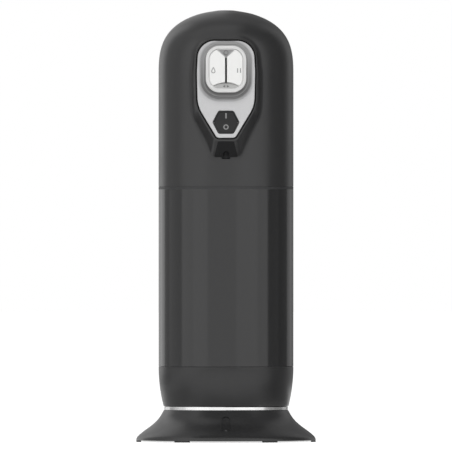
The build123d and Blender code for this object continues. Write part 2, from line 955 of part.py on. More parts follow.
# ============================================================ head: stopper and tubes
def stopper():
    """Plug in the vessel's neck that carries the two tubes and the relief valve."""
    plug_radius = neck_bore - fit_gap
    plug_low = neck_high - plug_depth
    plug = rod(plug_radius, plug_low, flange_high)
    plug += rod(neck_radius + bead_width, flange_low, flange_high)
    plug += pipe(riser_radius - riser_wall, riser_radius, flange_high, chassis_low)
    plug -= pipe(neck_bore - 2 * seal_radius, neck_bore + 1, seal_place, seal_place + seal_height)
    for side in (-1, 1):
        place = (side * tube_place, tube_place)
        plug -= rod(tube_radius + press_gap, plug_low - 1, flange_high + 1, place)
    return plug - rod(relief_bore, plug_low - 1, flange_high + 1, (0, relief_place))


def stopper_ring():
    """Seal in the groove round the stopper."""
    centre = neck_bore - seal_radius - running_gap
    section = Pos(centre, seal_place + seal_height / 2) * Circle(seal_radius - running_gap)
    return revolve(Plane.XZ * section, Axis.Z)


def dip_tube():
    return pipe(tube_bore, tube_radius, dip_low, tube_high, (-tube_place, tube_place))


def gas_tube():
    return pipe(tube_bore, tube_radius, gas_tube_low, tube_high, (tube_place, tube_place))


def sparger():
    """Porous head that breaks the gas into fine bubbles."""
    place = (tube_place, tube_place)
    low = gas_tube_low - sparger_length
    body = rod(sparger_radius, low, gas_tube_low + sparger_socket, place)
    body -= rod(tube_radius, gas_tube_low, gas_tube_low + sparger_socket + 1, place)
    return body - rod(tube_bore, low + sparger_floor, gas_tube_low + 1, place)


def relief_body():
    place = (0, relief_place)
    tube = pipe(relief_bore, relief_radius, relief_low, relief_high, place)
    tube += pipe(relief_bore / 2, relief_radius, relief_low, relief_seat, place)
    return tube + pipe(relief_bore / 3, relief_radius, relief_high - relief_end, relief_high, place)


def relief_poppet():
    place = (0, relief_place)
    head_high = relief_seat + relief_head
    head = rod(relief_bore - fit_gap, relief_seat, head_high, place)
    return head + rod(relief_bore / 3 - fit_gap, head_high, head_high + relief_stem, place)


def relief_spring():
    low = relief_seat + relief_head + running_gap
    high = relief_high - relief_end - running_gap
    return spring(relief_spring_radius, relief_spring_wire, low, high, 5, (0, relief_place))


# ============================================================ head: gas supply
def gas_charger():
    """Small steel cartridge, neck up."""
    place = (0, bay_place)
    high = charger_low + charger_length
    shoulder = high - charger_neck_length - charger_cone
    body = rod(charger_radius, charger_low, shoulder, place)
    body = fillet(body.edges().group_by(Axis.Z)[0], charger_foot_round)
    body += cone(charger_radius, charger_neck_radius, shoulder, shoulder + charger_cone, place)
    return body + rod(charger_neck_radius, high - charger_neck_length, high, place)


def charger_bay():
    """Tube that holds the cartridge under the regulator."""
    place = (0, bay_place)
    tube = pipe(bay_bore, bay_radius, bay_low, bay_high, place)
    return tube + pipe(bay_bore, bay_radius + bay_flange, chassis_high, chassis_high + wall, place)


def bay_cap():
    """Cap that turns in the bay's mouth and holds the cartridge against its pin."""
    place = (0, bay_place)
    stem_radius = bay_bore - running_gap
    rim_low = bay_low - fit_gap - cap_rim
    cap = rod(stem_radius, rim_low, charger_low - fit_gap, place)
    cap += rod(bay_radius, rim_low, rim_low + cap_rim, place)
    half = bay_bore - wall
    thick = cap_grip_thickness / 2
    return cap + block(
        (-half, half), (bay_place - thick, bay_place + thick), (rim_low - cap_grip, rim_low + 1)
    )


def regulator():
    """Pressure regulator with the hollow pin that pierces the cartridge."""
    place = (0, bay_place)
    high = bay_high + regulator_height
    port = Plane(origin=(regulator_radius - 1, bay_place, bay_high + regulator_port), z_dir=(1, 0, 0))
    body = rod(regulator_radius, bay_high, high, place)
    body += rod(regulator_knob, high, high + regulator_knob_height, place)
    body += extrude(port * Circle(hose_radius), barb_length)
    body -= rod(charger_neck_radius + fit_gap, bay_high - 1, bay_high + pin_length, place)
    body -= extrude(port * Circle(hose_bore), barb_length + 1)
    body += rod(pin_radius, bay_high + 1, bay_high + pin_length + 1, place)
    return body + cone(0.1, pin_radius, bay_high, bay_high + 1, place)


# ============================================================ head: valves and hoses
def valve_spot(side):
    return (side * valve_place[0], valve_place[1])


def valve_block(side):
    """Valve block with its coil housing, standing on the chassis."""
    x, y = valve_spot(side)
    half = valve_half
    bore_high = block_high + coil_height
    body = block((x - half, x + half), (y - half, y + half), (chassis_high, block_high))
    body += rod(coil_radius, block_high - 1, bore_high + coil_cap, (x, y))
    body -= rod(plunger_radius + running_gap, plunger_low - fit_gap, bore_high, (x, y))
    for end in (-1, 1):
        origin = (x, y + end * (half - 1), chassis_high + port_height)
        port = Plane(origin=origin, z_dir=(0, end, 0))
        body += extrude(port * Circle(hose_radius), port_length + 1)
        body -= extrude(port * Circle(hose_bore), port_length + 2)
    return body


def valve_plunger(side):
    return rod(plunger_radius, plunger_low, plunger_high, valve_spot(side))


def valve_spring(side):
    high = block_high + coil_height - running_gap
    low = plunger_high + running_gap
    return spring(valve_spring_radius, valve_spring_wire, low, high, 6, valve_spot(side))


def valve_port(side, end):
    """Mouth of one of a valve's two ports."""
    x, y = valve_spot(side)
    return (x, y + end * (valve_half + port_length), chassis_high + port_height)


def beyond(place, *steps):
    """Points given as steps from a place."""
    return [tuple(a + b for a, b in zip(place, step)) for step in steps]


def gas_hoses():
    """From the regulator to the gas valve, and on from it to the gas tube."""
    outlet = (regulator_radius - 1 + barb_length, bay_place, bay_high + regulator_port)
    tube_top = (tube_place, tube_place, tube_high)
    rear, front = valve_port(1, 1), valve_port(1, -1)
    supply = [outlet, *beyond(outlet, *supply_route), *beyond(rear, (0, port_run, 0)), rear]
    feed = [front, *beyond(front, (0, -port_run, 0)), *beyond(tube_top, *feed_route), tube_top]
    return hose(supply) + hose(feed)


def water_hoses():
    """From the dip tube to the water valve, and on from it to the spout."""
    tube_top = (-tube_place, tube_place, tube_high)
    barb_end = (0, spout_place + spout_radius + barb_length, spout_barb)
    rear, front = valve_port(-1, 1), valve_port(-1, -1)
    lift = [tube_top, *beyond(tube_top, *lift_route), *beyond(rear, *lift_drop), rear]
    pour = [front, *beyond(front, (0, -port_run, 0), pour_bend), *beyond(barb_end, (0, port_run, 0)), barb_end]
    return hose(lift) + hose(pour)


# ============================================================ control panel
def well_face(amount=0.0):
    """The outline of the well round the key frame."""
    return rounded(well_size, well_radius, well_centre, amount)


def dish():
    """The bevelled mouth that leads down from the fascia's front to the well."""
    slope = dish_width / (well_sink + fascia_proud)
    low = panel.offset(-well_sink) * well_face()
    high = panel.offset(fascia_proud + wall) * well_face(dish_width + slope * wall)
    return loft([low, high], ruled=True)


def fascia():
    plate = softened(panel_face(0), -pocket_depth, fascia_proud, fascia_round)
    plate -= on_panel(well_face(), -root_depth, root_depth) + dish()
    return plate - on_panel(hexagon(running_gap), -root_depth, root_depth)


def fascia_gasket():
    line = panel_face(gasket_width - running_gap) - panel_face(running_gap)
    return on_panel(line, -pocket_depth, -gasket_sink)


def well_ring():
    """Soft ring round the key frame, with a raised bead."""
    ring = on_panel(well_face(-running_gap) - frame_face(running_gap), -pocket_depth, -well_sink)
    bead = Pos(0, bead_shift) * (frame_face(bead_offset + bead_thickness) - frame_face(bead_offset))
    return ring + on_panel(bead, -well_sink - bead_thickness, -well_sink + bead_thickness)


def facets():
    """The two sloping facets that fall from the frame to the ends of the slit."""
    high = key_centre + key_size[1] / 2
    low = key_centre - key_size[1] / 2
    base = -key_back - wall
    lip = frame_proud - frame_round
    upper = [(high + 1, base), (high + 1, lip), (high - 0.5, lip)]
    upper += [(high - facet_height, -facet_drop), (high - facet_height, base)]
    lower = [(low - 1, base), (low - 1, lip), (low + 0.5, lip)]
    lower += [(low + arch_height, -facet_drop), (low + arch_height, base)]
    top = from_side(upper, key_size[0]) & on_panel(top_facet(), base, frame_proud)
    bottom = from_side(lower, key_size[0]) & on_panel(low_facet(), base, frame_proud)
    return (top + bottom) & on_panel(key_zone(edge_round), base, frame_proud)


def key_frame():
    """Frame and well of the keys, held behind the fascia by its flange."""
    body = softened(frame_face() - key_zone(), -frame_depth, frame_proud, frame_round)
    reach = panel_corners[0][1]
    upper_half = Pos(0, well_centre) * Rectangle(4 * reach, well_size[1] + 2 * frame_flange)
    flange = (panel_face(-ledge_width - fit_gap) & upper_half) - key_zone()
    body += on_panel(flange, -pocket_depth - frame_flange, -pocket_depth)
    body += on_panel(frame_face(), -frame_depth, -frame_depth + frame_floor)
    body += facets()
    for side in (-1, 1):
        stem = Pos(side * key_stem_place[0], key_stem_place[1]) * Circle(key_stem_radius + fit_gap)
        body -= on_panel(stem, -root_depth, -frame_depth + frame_floor + 1)
    for x, y in post_places:
        body += on_panel(Pos(x, y) * Circle(post_radius), -board_front, -frame_depth + frame_floor)
        body -= on_panel(Pos(x, y) * Circle(screw_radius), -root_depth, -frame_depth - 1)
    return body


def key(side):
    """Half of the pair of keys, with the stem that works its switch."""
    half = Pos(side * (key_slit / 2 + key_size[0]), key_centre) * Rectangle(2 * key_size[0], 2 * key_size[1])
    zone = key_zone(-key_gap)
    face = (zone & half) - top_facet(key_gap) - low_facet(key_gap)
    bends = [Vector(v) for v in zone.vertices()]
    sharp = [v for v in face.vertices() if all((Vector(v) - b).length > edge_round for b in bends)]
    cap = softened(fillet(sharp, key_corner), -key_back, key_front, key_round)
    stem = Pos(side * key_stem_place[0], key_stem_place[1]) * Circle(key_stem_radius)
    return cap + on_panel(stem, -key_stem_reach, -key_back + 1)


def control_board():
    """Circuit board with a switch under each key and a lamp above them."""
    middle = key_stem_place[1]
    board = on_panel(Pos(0, middle) * Rectangle(*board_size), -board_front - board_thickness, -board_front)
    switch_high = -key_stem_reach - key_travel - fit_gap
    for side in (-1, 1):
        place = Pos(side * key_stem_place[0], middle)
        board += on_panel(place * Rectangle(switch_size, switch_size), -board_front, switch_high)
    for x, y in post_places:
        hole = Pos(x, y) * Circle(screw_radius + fit_gap)
        board -= on_panel(hole, -root_depth, -board_front)
    return board


def board_screws():
    screws = Part()
    back = -board_front - board_thickness
    for x, y in post_places:
        screws += on_panel(Pos(x, y) * Circle(2 * screw_radius), back - 1.2, back)
        screws += on_panel(Pos(x, y) * Circle(screw_radius), back, -frame_depth - 1)
    return screws


# ============================================================ power rocker
def pivot_axis():
    return Axis(panel.from_local_coords((0, rocker_centre, -rocker_pivot_depth)), (1, 0, 0))


def pivot_rod(radius, half_length):
    """A rod along the rocker's pivot."""
    origin = panel.from_local_coords((0, rocker_centre, -rocker_pivot_depth))
    section = Plane(origin=origin, x_dir=panel.y_dir, z_dir=panel.x_dir) * Circle(radius)
    return extrude(section, half_length, both=True)


def pin_half_length():
    return rocker_half_width - rocker_wall - 2 * running_gap


def rocker_housing():
    body = on_panel(hexagon(-running_gap), -rocker_depth, 0)
    body += on_panel(hexagon(rocker_flange), -pocket_depth - rocker_flange, -pocket_depth)
    body -= on_panel(hexagon(-rocker_wall), -rocker_depth + rocker_floor, root_depth)
    return body - pivot_rod(rocker_pin_radius + press_gap, pin_half_length())


def rocker_pin():
    return pivot_rod(rocker_pin_radius, pin_half_length() - press_gap)


def power_rocker():
    """Two flats meeting in a shallow V, the lower one level with the fascia at rest."""
    half_throw = radians(rocker_throw / 2)
    middle = (rocker_pivot_depth + rocker_proud) * cos(half_throw)
    reach = rocker_half_height - rocker_wall - rocker_gap
    end = (reach - middle * sin(half_throw)) * cos(half_throw)
    rise = end * tan(half_throw)
    outline = [(-end, -rocker_under), (-end, middle + rise), (0, middle)]
    outline += [(end, middle + rise), (end, -rocker_under)]
    turned = []
    for along, out in outline:
        up = along * cos(half_throw) - out * sin(half_throw)
        lift = along * sin(half_throw) + out * cos(half_throw)
        turned.append((up + rocker_centre, lift - rocker_pivot_depth))
    body = from_side(turned, rocker_half_width)
    opening = on_panel(hexagon(-rocker_wall - rocker_gap), -rocker_depth, rocker_depth)
    for share in (0.0, 0.5, 1.0):
        body &= opening.rotate(pivot_axis(), share * rocker_throw)
    return body - pivot_rod(rocker_pin_radius + running_gap, rocker_half_width)


# ============================================================ all sub-parts
sub_parts = {
    "base_shell": base_shell,
    "base_cover": base_cover,
    "base_screws": base_screws,
    "accent_ring": accent_ring,
    "base_ballast": base_ballast,
    "dock_board": dock_board,
    "dock_pins": dock_pins,
    "dc_inlet": dc_inlet,
    "status_window": status_window,
    "lower_skirt": lower_skirt,
    "glide_ring": glide_ring,
    "body_contacts": body_contacts,
    "vessel_seat": vessel_seat,
    "vessel": vessel,
    "vessel_nut": vessel_nut,
    "neck_collar": neck_collar,
    "outer_sleeve": outer_sleeve,
    "lock_ring": lock_ring,
    "head_shell": head_shell,
    "spout_insert": spout_insert,
    "spout_nozzle": spout_nozzle,
    "head_chassis": head_chassis,
    "head_screws": head_screws,
    "stopper": stopper,
    "stopper_ring": stopper_ring,
    "dip_tube": dip_tube,
    "gas_tube": gas_tube,
    "sparger": sparger,
    "relief_body": relief_body,
    "relief_poppet": relief_poppet,
    "relief_spring": relief_spring,
    "gas_charger": gas_charger,
    "charger_bay": charger_bay,
    "bay_cap": bay_cap,
    "regulator": regulator,
    "gas_hoses": gas_hoses,
    "water_hoses": water_hoses,
    "fascia": fascia,
    "fascia_gasket": fascia_gasket,
    "well_ring": well_ring,
    "key_frame": key_frame,
    "control_board": control_board,
    "board_screws": board_screws,
    "rocker_housing": rocker_housing,
    "rocker_pin": rocker_pin,
    "power_rocker": power_rocker,
}
for name, make in sub_parts.items():
    save(name, make())
for number in range(foot_count):
    save(f"foot_{number + 1}", foot(number))
for name, side in (("gas", 1), ("water", -1)):
    save(f"{name}_valve", valve_block(side))
    save(f"{name}_plunger", valve_plunger(side))
    save(f"{name}_spring", valve_spring(side))
for name, side in (("left", -1), ("right", 1)):
    save(f"{name}_key", key(side))
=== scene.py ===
import json
from math import cos, pi, radians, sin, tan

import bmesh
import bpy
from mathutils import Matrix, Vector


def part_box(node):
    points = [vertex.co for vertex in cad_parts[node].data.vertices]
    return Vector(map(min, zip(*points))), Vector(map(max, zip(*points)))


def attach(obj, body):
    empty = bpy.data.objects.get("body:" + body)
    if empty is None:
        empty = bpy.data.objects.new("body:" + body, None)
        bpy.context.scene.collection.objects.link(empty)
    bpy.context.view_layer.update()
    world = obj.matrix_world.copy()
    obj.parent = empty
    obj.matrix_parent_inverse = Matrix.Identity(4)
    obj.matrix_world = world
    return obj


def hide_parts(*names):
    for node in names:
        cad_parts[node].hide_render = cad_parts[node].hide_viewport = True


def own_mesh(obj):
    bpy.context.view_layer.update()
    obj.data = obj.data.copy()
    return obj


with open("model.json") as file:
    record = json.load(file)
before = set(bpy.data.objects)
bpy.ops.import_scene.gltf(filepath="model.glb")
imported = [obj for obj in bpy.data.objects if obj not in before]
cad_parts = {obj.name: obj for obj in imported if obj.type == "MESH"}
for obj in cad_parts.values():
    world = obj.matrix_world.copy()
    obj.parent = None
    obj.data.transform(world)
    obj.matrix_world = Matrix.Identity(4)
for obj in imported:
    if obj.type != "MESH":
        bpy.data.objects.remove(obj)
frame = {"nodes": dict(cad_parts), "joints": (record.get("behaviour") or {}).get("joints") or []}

# Looks of an upright soda carbonator: the finishes of its housing and works, the marks on its
# keys and rocker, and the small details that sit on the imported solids.
# The part stands on z = 0 and its control panel faces -Y.

nodes = frame["nodes"]
joints = {joint["name"]: joint for joint in frame["joints"]}
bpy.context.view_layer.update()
scene = bpy.context.scene
scene.view_settings.view_transform = "Standard"
mm = 0.001
print("frame loaded:", len(nodes), "solids")

studio = {
    "lookAtHeight": 0.21505,
    "frameWidth": 0.4504,
    "lens": 1600,
    "sensor": 36,
    "clipStart": 0.1,
    "backdrop": (1.0, 1.0, 1.0),
    "fill": 0.55,
    "floorSize": 60.0,
    "floorColour": (0.86, 0.86, 0.86),
    "floorLift": 0.40,
    "floorBackdrop": 0.62,
    # bearing from the front, distance, width, height, middle height, radiance
    "lamps": {
        "frontSoftbox": (-7, 2.6, 2.3, 2.4, 0.7, 0.20),
        "leftSoftbox": (-55.5, 1.7, 1.5, 2.4, 0.6, 0.40),
        "rightSoftbox": (46, 1.9, 2.0, 2.4, 0.6, 0.36),
        "highLamp": (0, 1.9, 1.6, 1.2, 2.3, 4.0),
    },
    # bearings of the two edges, distance, height, middle height, brightness of the card
    "cards": {
        "frontCard": (-31, 17, 2.6, 2.8, 0.6, 1.24),
        "leftFrontCard": (-57, -31, 1.8, 2.8, 0.6, 1.52),
        "leftCard": (-80, -57, 1.7, 2.8, 0.6, 1.38),
        "rightFrontCard": (17, 55, 2.0, 2.8, 0.6, 1.44),
        "rightCard": (55, 75, 1.9, 2.8, 0.6, 1.24),
        "leftSideCard": (-112, -80, 1.5, 2.8, 0.6, 0.74),
        "leftGapCard": (-128, -112, 1.5, 2.8, 0.6, 0.50),
        "leftRearCard": (-150, -128, 1.5, 2.8, 0.6, 1.15),
        "leftBackCard": (-180, -150, 1.5, 2.8, 0.6, 0.66),
        "rightSideCard": (75, 100, 1.5, 2.8, 0.6, 0.30),
        "rightGapCard": (100, 127, 1.5, 2.8, 0.6, 0.19),
        "rightRearCard": (127, 150, 1.5, 2.8, 0.6, 0.52),
        "rightBackCard": (150, 180, 1.5, 2.8, 0.6, 0.24),
    },
    # level cards above this height glow downwards, the others upwards
    "cardTurnHeight": 0.05,
    # middle across, middle back, height, width, depth, fade, brightness of the level card
    "levelCards": {
        "highRearCard": (0.0, 1.25, 2.1, 3.0, 1.9, 0.1, 0.46),
        "highRightCard": (1.1, 0.3, 2.05, 1.4, 1.6, 0.1, 0.30),
        "leftFloorCard": (-0.95, 0.72, 0.0040, 1.3, 1.4, 0.25, 0.15),
        "rightFloorCard": (0.95, 0.80, 0.0040, 1.3, 1.2, 0.25, 0.12),
        "leftNearFloorCard": (-0.23, 0.06, 0.0030, 0.28, 0.44, 0.06, 0.55),
        "rightNearFloorCard": (0.66, 0.07, 0.0031, 1.16, 0.52, 0.12, 0.25),
        "nearFloorCard": (0.01, -0.13, 0.0036, 0.26, 0.12, 0.04, 0.60),
        "farFloorCard": (0.01, -0.33, 0.0033, 0.56, 0.42, 0.16, 1.25),
        "frontFloorCard": (0.0, -1.05, 0.0028, 1.5, 1.25, 0.25, 1.25),
        "lowCard": (0.055, -0.098, 0.0748, 0.24, 0.05, 0.0, 0.25),
    },
}


def newNode(tree, kind, place=(0, 0), **settings):
    made = tree.nodes.new(kind)
    made.location = place
    for name, value in settings.items():
        setattr(made, name, value)
    return made


def feed(tree, socket, value):
    # links the value if it comes from a socket, and else sets it, a colour with its alpha
    if isinstance(value, bpy.types.NodeSocket):
        tree.links.new(value, socket)
    else:
        socket.default_value = (*value, 1) if socket.type == "RGBA" else value


def maths(tree, operation, first, second=None, clamp=False):
    made = newNode(tree, "ShaderNodeMath", operation=operation, use_clamp=clamp)
    feed(tree, made.inputs[0], first)
    if second is not None:
        feed(tree, made.inputs[1], second)
    return made.outputs[0]


def ranged(tree, value, low, high, smooth=True):
    # 0 at low, 1 at high
    made = newNode(tree, "ShaderNodeMapRange", interpolation_type="SMOOTHSTEP" if smooth else "LINEAR")
    made.inputs["From Min"].default_value = low
    made.inputs["From Max"].default_value = high
    tree.links.new(value, made.inputs["Value"])
    return made.outputs["Result"]


def mixed(tree, place, factor, low, high, kind="FLOAT"):
    # blend of two values or colours by a mask
    made = newNode(tree, "ShaderNodeMix", place, data_type=kind)
    first, result = (2, 0) if kind == "FLOAT" else (6, 2)
    feed(tree, made.inputs[first], low)
    feed(tree, made.inputs[first + 1], high)
    tree.links.new(factor, made.inputs[0])
    return made.outputs[result]


def emptyMaterial(name):
    made = bpy.data.materials.new(name)
    made.use_nodes = True
    made.node_tree.nodes.clear()
    return made


def linked(name, data):
    made = bpy.data.objects.new(name, data)
    scene.collection.objects.link(made)
    return made


def meshOf(name, bm):
    mesh = bpy.data.meshes.new(name)
    bm.to_mesh(mesh)
    bm.free()
    return mesh


def facing(bearing, distance, height, aim):
    # a place on a circle round the part, and the turn that looks back at a height on its axis
    angle = radians(bearing)
    place = Vector((sin(angle) * distance, -cos(angle) * distance, height))
    turn = (Vector((0, 0, aim)) - place).to_track_quat("-Z", "Y")
    return Matrix.Translation(place) @ turn.to_matrix().to_4x4()


def makeCamera():
    data = bpy.data.cameras.new("camera")
    data.sensor_width = studio["sensor"]
    data.lens = studio["lens"]
    distance = studio["frameWidth"] * data.lens / data.sensor_width
    data.clip_start, data.clip_end = studio["clipStart"], distance * 4
    camera = linked("camera", data)
    height = studio["lookAtHeight"]
    camera.matrix_world = facing(0, distance, height, height)
    scene.camera = camera


def makeWorld():
    # an even fill on the part, and the plain backdrop for the camera, the gloss and what is clear
    world = bpy.data.worlds.new("studioWorld")
    scene.world = world
    world.use_nodes = True
    tree = world.node_tree
    tree.nodes.clear()
    out = newNode(tree, "ShaderNodeOutputWorld", (600, 0))
    path = newNode(tree, "ShaderNodeLightPath", (-600, 200))
    backdrop = newNode(tree, "ShaderNodeBackground", (0, 0))
    fill = newNode(tree, "ShaderNodeBackground", (0, -150))
    mix = newNode(tree, "ShaderNodeMixShader", (300, 0))
    for shader, strength in ((backdrop, 1.0), (fill, studio["fill"])):
        shader.inputs["Color"].default_value = (*studio["backdrop"], 1)
        shader.inputs["Strength"].default_value = strength
    seen = maths(tree, "MAXIMUM", path.outputs["Is Camera Ray"], path.outputs["Is Glossy Ray"])
    shown = maths(tree, "MAXIMUM", seen, path.outputs["Is Transmission Ray"])
    tree.links.new(shown, mix.inputs[0])
    tree.links.new(fill.outputs[0], mix.inputs[1])
    tree.links.new(backdrop.outputs[0], mix.inputs[2])
    tree.links.new(mix.outputs[0], out.inputs[0])


def makeFloor():
    bm = bmesh.new()
    bmesh.ops.create_grid(bm, x_segments=2, y_segments=2, size=studio["floorSize"] / 2)
    floor = linked("floor", meshOf("floor", bm))
    finish = emptyMaterial("paleFloor")
    tree = finish.node_tree
    out = newNode(tree, "ShaderNodeOutputMaterial", (600, 0))
    paper = newNode(tree, "ShaderNodeBsdfDiffuse", (0, 0))
    paper.inputs["Color"].default_value = (*studio["floorColour"], 1)
    # the backdrop's white, a little for the gloss and more for the camera
    path = newNode(tree, "ShaderNodeLightPath", (-900, 200))
    gloss = maths(tree, "MULTIPLY", path.outputs["Is Glossy Ray"], studio["floorLift"])
    lens = maths(tree, "MULTIPLY", path.outputs["Is Camera Ray"], studio["floorBackdrop"])
    lift = newNode(tree, "ShaderNodeEmission", (0, -150))
    tree.links.new(maths(tree, "ADD", gloss, lens), lift.inputs["Strength"])
    lifted = newNode(tree, "ShaderNodeAddShader", (300, -100))
    tree.links.new(paper.outputs[0], lifted.inputs[0])
    tree.links.new(lift.outputs[0], lifted.inputs[1])
    tree.links.new(lifted.outputs[0], out.inputs[0])
    floor.data.materials.append(finish)


def makeLamps():
    for name, (bearing, distance, width, height, middle, radiance) in studio["lamps"].items():
        data = bpy.data.lights.new(name, "AREA")
        data.shape = "RECTANGLE"
        data.size, data.size_y = width, height
        data.energy = radiance * pi * width * height
        lamp = linked(name, data)
        lamp.matrix_world = facing(bearing, distance, middle, studio["lookAtHeight"])
        lamp.visible_camera = False
        lamp.visible_glossy = False


def makeCard(name, width, height, place, brightness, fade=0.0):
    # a grey card that only the gloss of the part sees, clear from behind, and faded at its edges
    bm = bmesh.new()
    bmesh.ops.create_grid(bm, x_segments=1, y_segments=1, size=0.5)
    bmesh.ops.scale(bm, vec=(width, height, 1), verts=bm.verts)
    bmesh.ops.transform(bm, matrix=place, verts=bm.verts)
    card = linked(name, meshOf(name, bm))
    finish = emptyMaterial(name)
    tree = finish.node_tree
    out = newNode(tree, "ShaderNodeOutputMaterial", (600, 0))
    glow = newNode(tree, "ShaderNodeEmission", (0, 0))
    glow.inputs["Strength"].default_value = brightness
    clear = newNode(tree, "ShaderNodeBsdfTransparent", (0, -150))
    shown = newNode(tree, "ShaderNodeMixShader", (300, 0))
    side = newNode(tree, "ShaderNodeNewGeometry", (-900, 200))
    cover = maths(tree, "SUBTRACT", 1.0, side.outputs["Backfacing"])
    if fade:
        coords = newNode(tree, "ShaderNodeTexCoord", (-1500, -200))
        split = newNode(tree, "ShaderNodeSeparateXYZ", (-1300, -200))
        tree.links.new(coords.outputs["Generated"], split.inputs[0])
        for row, reach in enumerate((fade / width, fade / height)):
            # how far inside the card's nearer edge, from 0 at the edge to 1 past the fade
            inward = maths(tree, "PINGPONG", split.outputs[row], 0.5)
            cover = maths(tree, "MULTIPLY", ranged(tree, inward, 0.0, min(reach, 0.5)), cover)
    tree.links.new(cover, shown.inputs[0])
    tree.links.new(clear.outputs[0], shown.inputs[1])
    tree.links.new(glow.outputs[0], shown.inputs[2])
    tree.links.new(shown.outputs[0], out.inputs[0])
    card.data.materials.append(finish)
    card.visible_camera = False
    card.visible_shadow = False
    card.visible_diffuse = False


def makeCards():
    for name, (first, last, distance, height, middle, brightness) in studio["cards"].items():
        width = 2 * distance * tan(radians(last - first) / 2)
        place = facing((first + last) / 2, distance, middle, middle) @ Matrix.Rotation(pi, 4, "Y")
        makeCard(name, width, height, place, brightness)
    for name, (across, back, height, width, depth, fade, brightness) in studio["levelCards"].items():
        turn = Matrix.Rotation(pi if height > studio["cardTurnHeight"] else 0, 4, "X")
        makeCard(name, width, depth, Matrix.Translation((across, back, height)) @ turn, brightness, fade)


makeCamera()
makeWorld()
makeFloor()
makeLamps()
makeCards()
print("studio ready")


# levels of the shared effects: noise scales and details, and the ranges that become 0 to 1
effectLook = {
    "grainDetail": 3.0, "waveDetail": 1.0, "patchScale": 45.0, "patchDetail": 5.0, "patchRange": (0.3, 0.7),
    "wornTurn": (0.99, 0.86), "wornDetail": 4.0, "wornRange": (0.35, 0.65),
    "dustTilt": (0.35, 1.0), "dustScale": 900.0, "dustDetail": 6.0, "dustRange": (0.45, 0.8),
    "lineDetail": 6.0, "lineRoughness": 0.7, "lineRange": (0.3, 0.7),
}


def newGroup(name, inputs, outputs):
    tree = bpy.data.node_groups.new(name, "ShaderNodeTree")
    for label, kind, value in inputs:
        socket = tree.interface.new_socket(label, in_out="INPUT", socket_type=kind)
        socket.default_value = value
    for label, kind in outputs:
        tree.interface.new_socket(label, in_out="OUTPUT", socket_type=kind)
    start = newNode(tree, "NodeGroupInput", (-900, 0))
    end = newNode(tree, "NodeGroupOutput", (900, 0))
    return tree, start, end


def noiseOn(tree, place, coords, scale, detail):
    made = newNode(tree, "ShaderNodeTexNoise", place)
    made.inputs["Detail"].default_value = detail
    tree.links.new(coords, made.inputs["Vector"])
    feed(tree, made.inputs["Scale"], scale)
    return made


def makeMouldGrain():
    # the fine texture of moulded or sprayed parts, with a slow waviness and uneven gloss
    look = effectLook
    tree, start, end = newGroup(
        "mouldGrain",
        [
            ("Grain Size", "NodeSocketFloat", 2500.0), ("Wave Size", "NodeSocketFloat", 14.0),
            ("Wave Share", "NodeSocketFloat", 0.2),
        ],
        [("Height", "NodeSocketFloat"), ("Patches", "NodeSocketFloat")],
    )
    spot = newNode(tree, "ShaderNodeTexCoord", (-900, 300)).outputs["Object"]
    grain = noiseOn(tree, (-600, 300), spot, start.outputs["Grain Size"], look["grainDetail"])
    wave = noiseOn(tree, (-600, 0), spot, start.outputs["Wave Size"], look["waveDetail"])
    blotch = noiseOn(tree, (-600, -300), spot, look["patchScale"], look["patchDetail"])
    height = mixed(tree, (-200, 200), start.outputs["Wave Share"], grain.outputs["Fac"], wave.outputs["Fac"])
    tree.links.new(height, end.inputs["Height"])
    patches = ranged(tree, blotch.outputs["Fac"], *look["patchRange"], smooth=False)
    tree.links.new(patches, end.inputs["Patches"])
    return tree


def makeWornEdges():
    # a mask that is 1 on sharp edges, broken up as handling breaks it up
    look = effectLook
    tree, start, end = newGroup(
        "wornEdges",
        [("Width", "NodeSocketFloat", 0.0006), ("Breakup", "NodeSocketFloat", 400.0)],
        [("Edge", "NodeSocketFloat")],
    )
    spot = newNode(tree, "ShaderNodeTexCoord", (-900, 300)).outputs["Object"]
    soft = newNode(tree, "ShaderNodeBevel", (-600, 100), samples=4)
    flat = newNode(tree, "ShaderNodeNewGeometry", (-600, -100))
    match = newNode(tree, "ShaderNodeVectorMath", (-350, 0), operation="DOT_PRODUCT")
    tree.links.new(start.outputs["Width"], soft.inputs["Radius"])
    tree.links.new(soft.outputs["Normal"], match.inputs[0])
    tree.links.new(flat.outputs["Normal"], match.inputs[1])
    turned = ranged(tree, match.outputs["Value"], *look["wornTurn"], smooth=False)
    noise = noiseOn(tree, (-600, 400), spot, start.outputs["Breakup"], look["wornDetail"])
    broken = ranged(tree, noise.outputs["Fac"], *look["wornRange"], smooth=False)
    tree.links.new(maths(tree, "MULTIPLY", turned, broken, clamp=True), end.inputs["Edge"])
    return tree


def makeRestingDust():
    # a mask of fine dust on the faces that look up
    look = effectLook
    tree, start, end = newGroup(
        "restingDust", [("Amount", "NodeSocketFloat", 0.1)], [("Dust", "NodeSocketFloat")]
    )
    spot = newNode(tree, "ShaderNodeTexCoord", (-900, 300)).outputs["Object"]
    shape = newNode(tree, "ShaderNodeNewGeometry", (-900, 0))
    split = newNode(tree, "ShaderNodeSeparateXYZ", (-700, 0))
    tree.links.new(shape.outputs["Normal"], split.inputs[0])
    up = ranged(tree, split.outputs["Z"], *look["dustTilt"], smooth=False)
    specks = noiseOn(tree, (-700, 300), spot, look["dustScale"], look["dustDetail"])
    some = ranged(tree, specks.outputs["Fac"], *look["dustRange"], smooth=False)
    resting = maths(tree, "MULTIPLY", up, some)
    tree.links.new(maths(tree, "MULTIPLY", resting, start.outputs["Amount"], clamp=True), end.inputs["Dust"])
    return tree


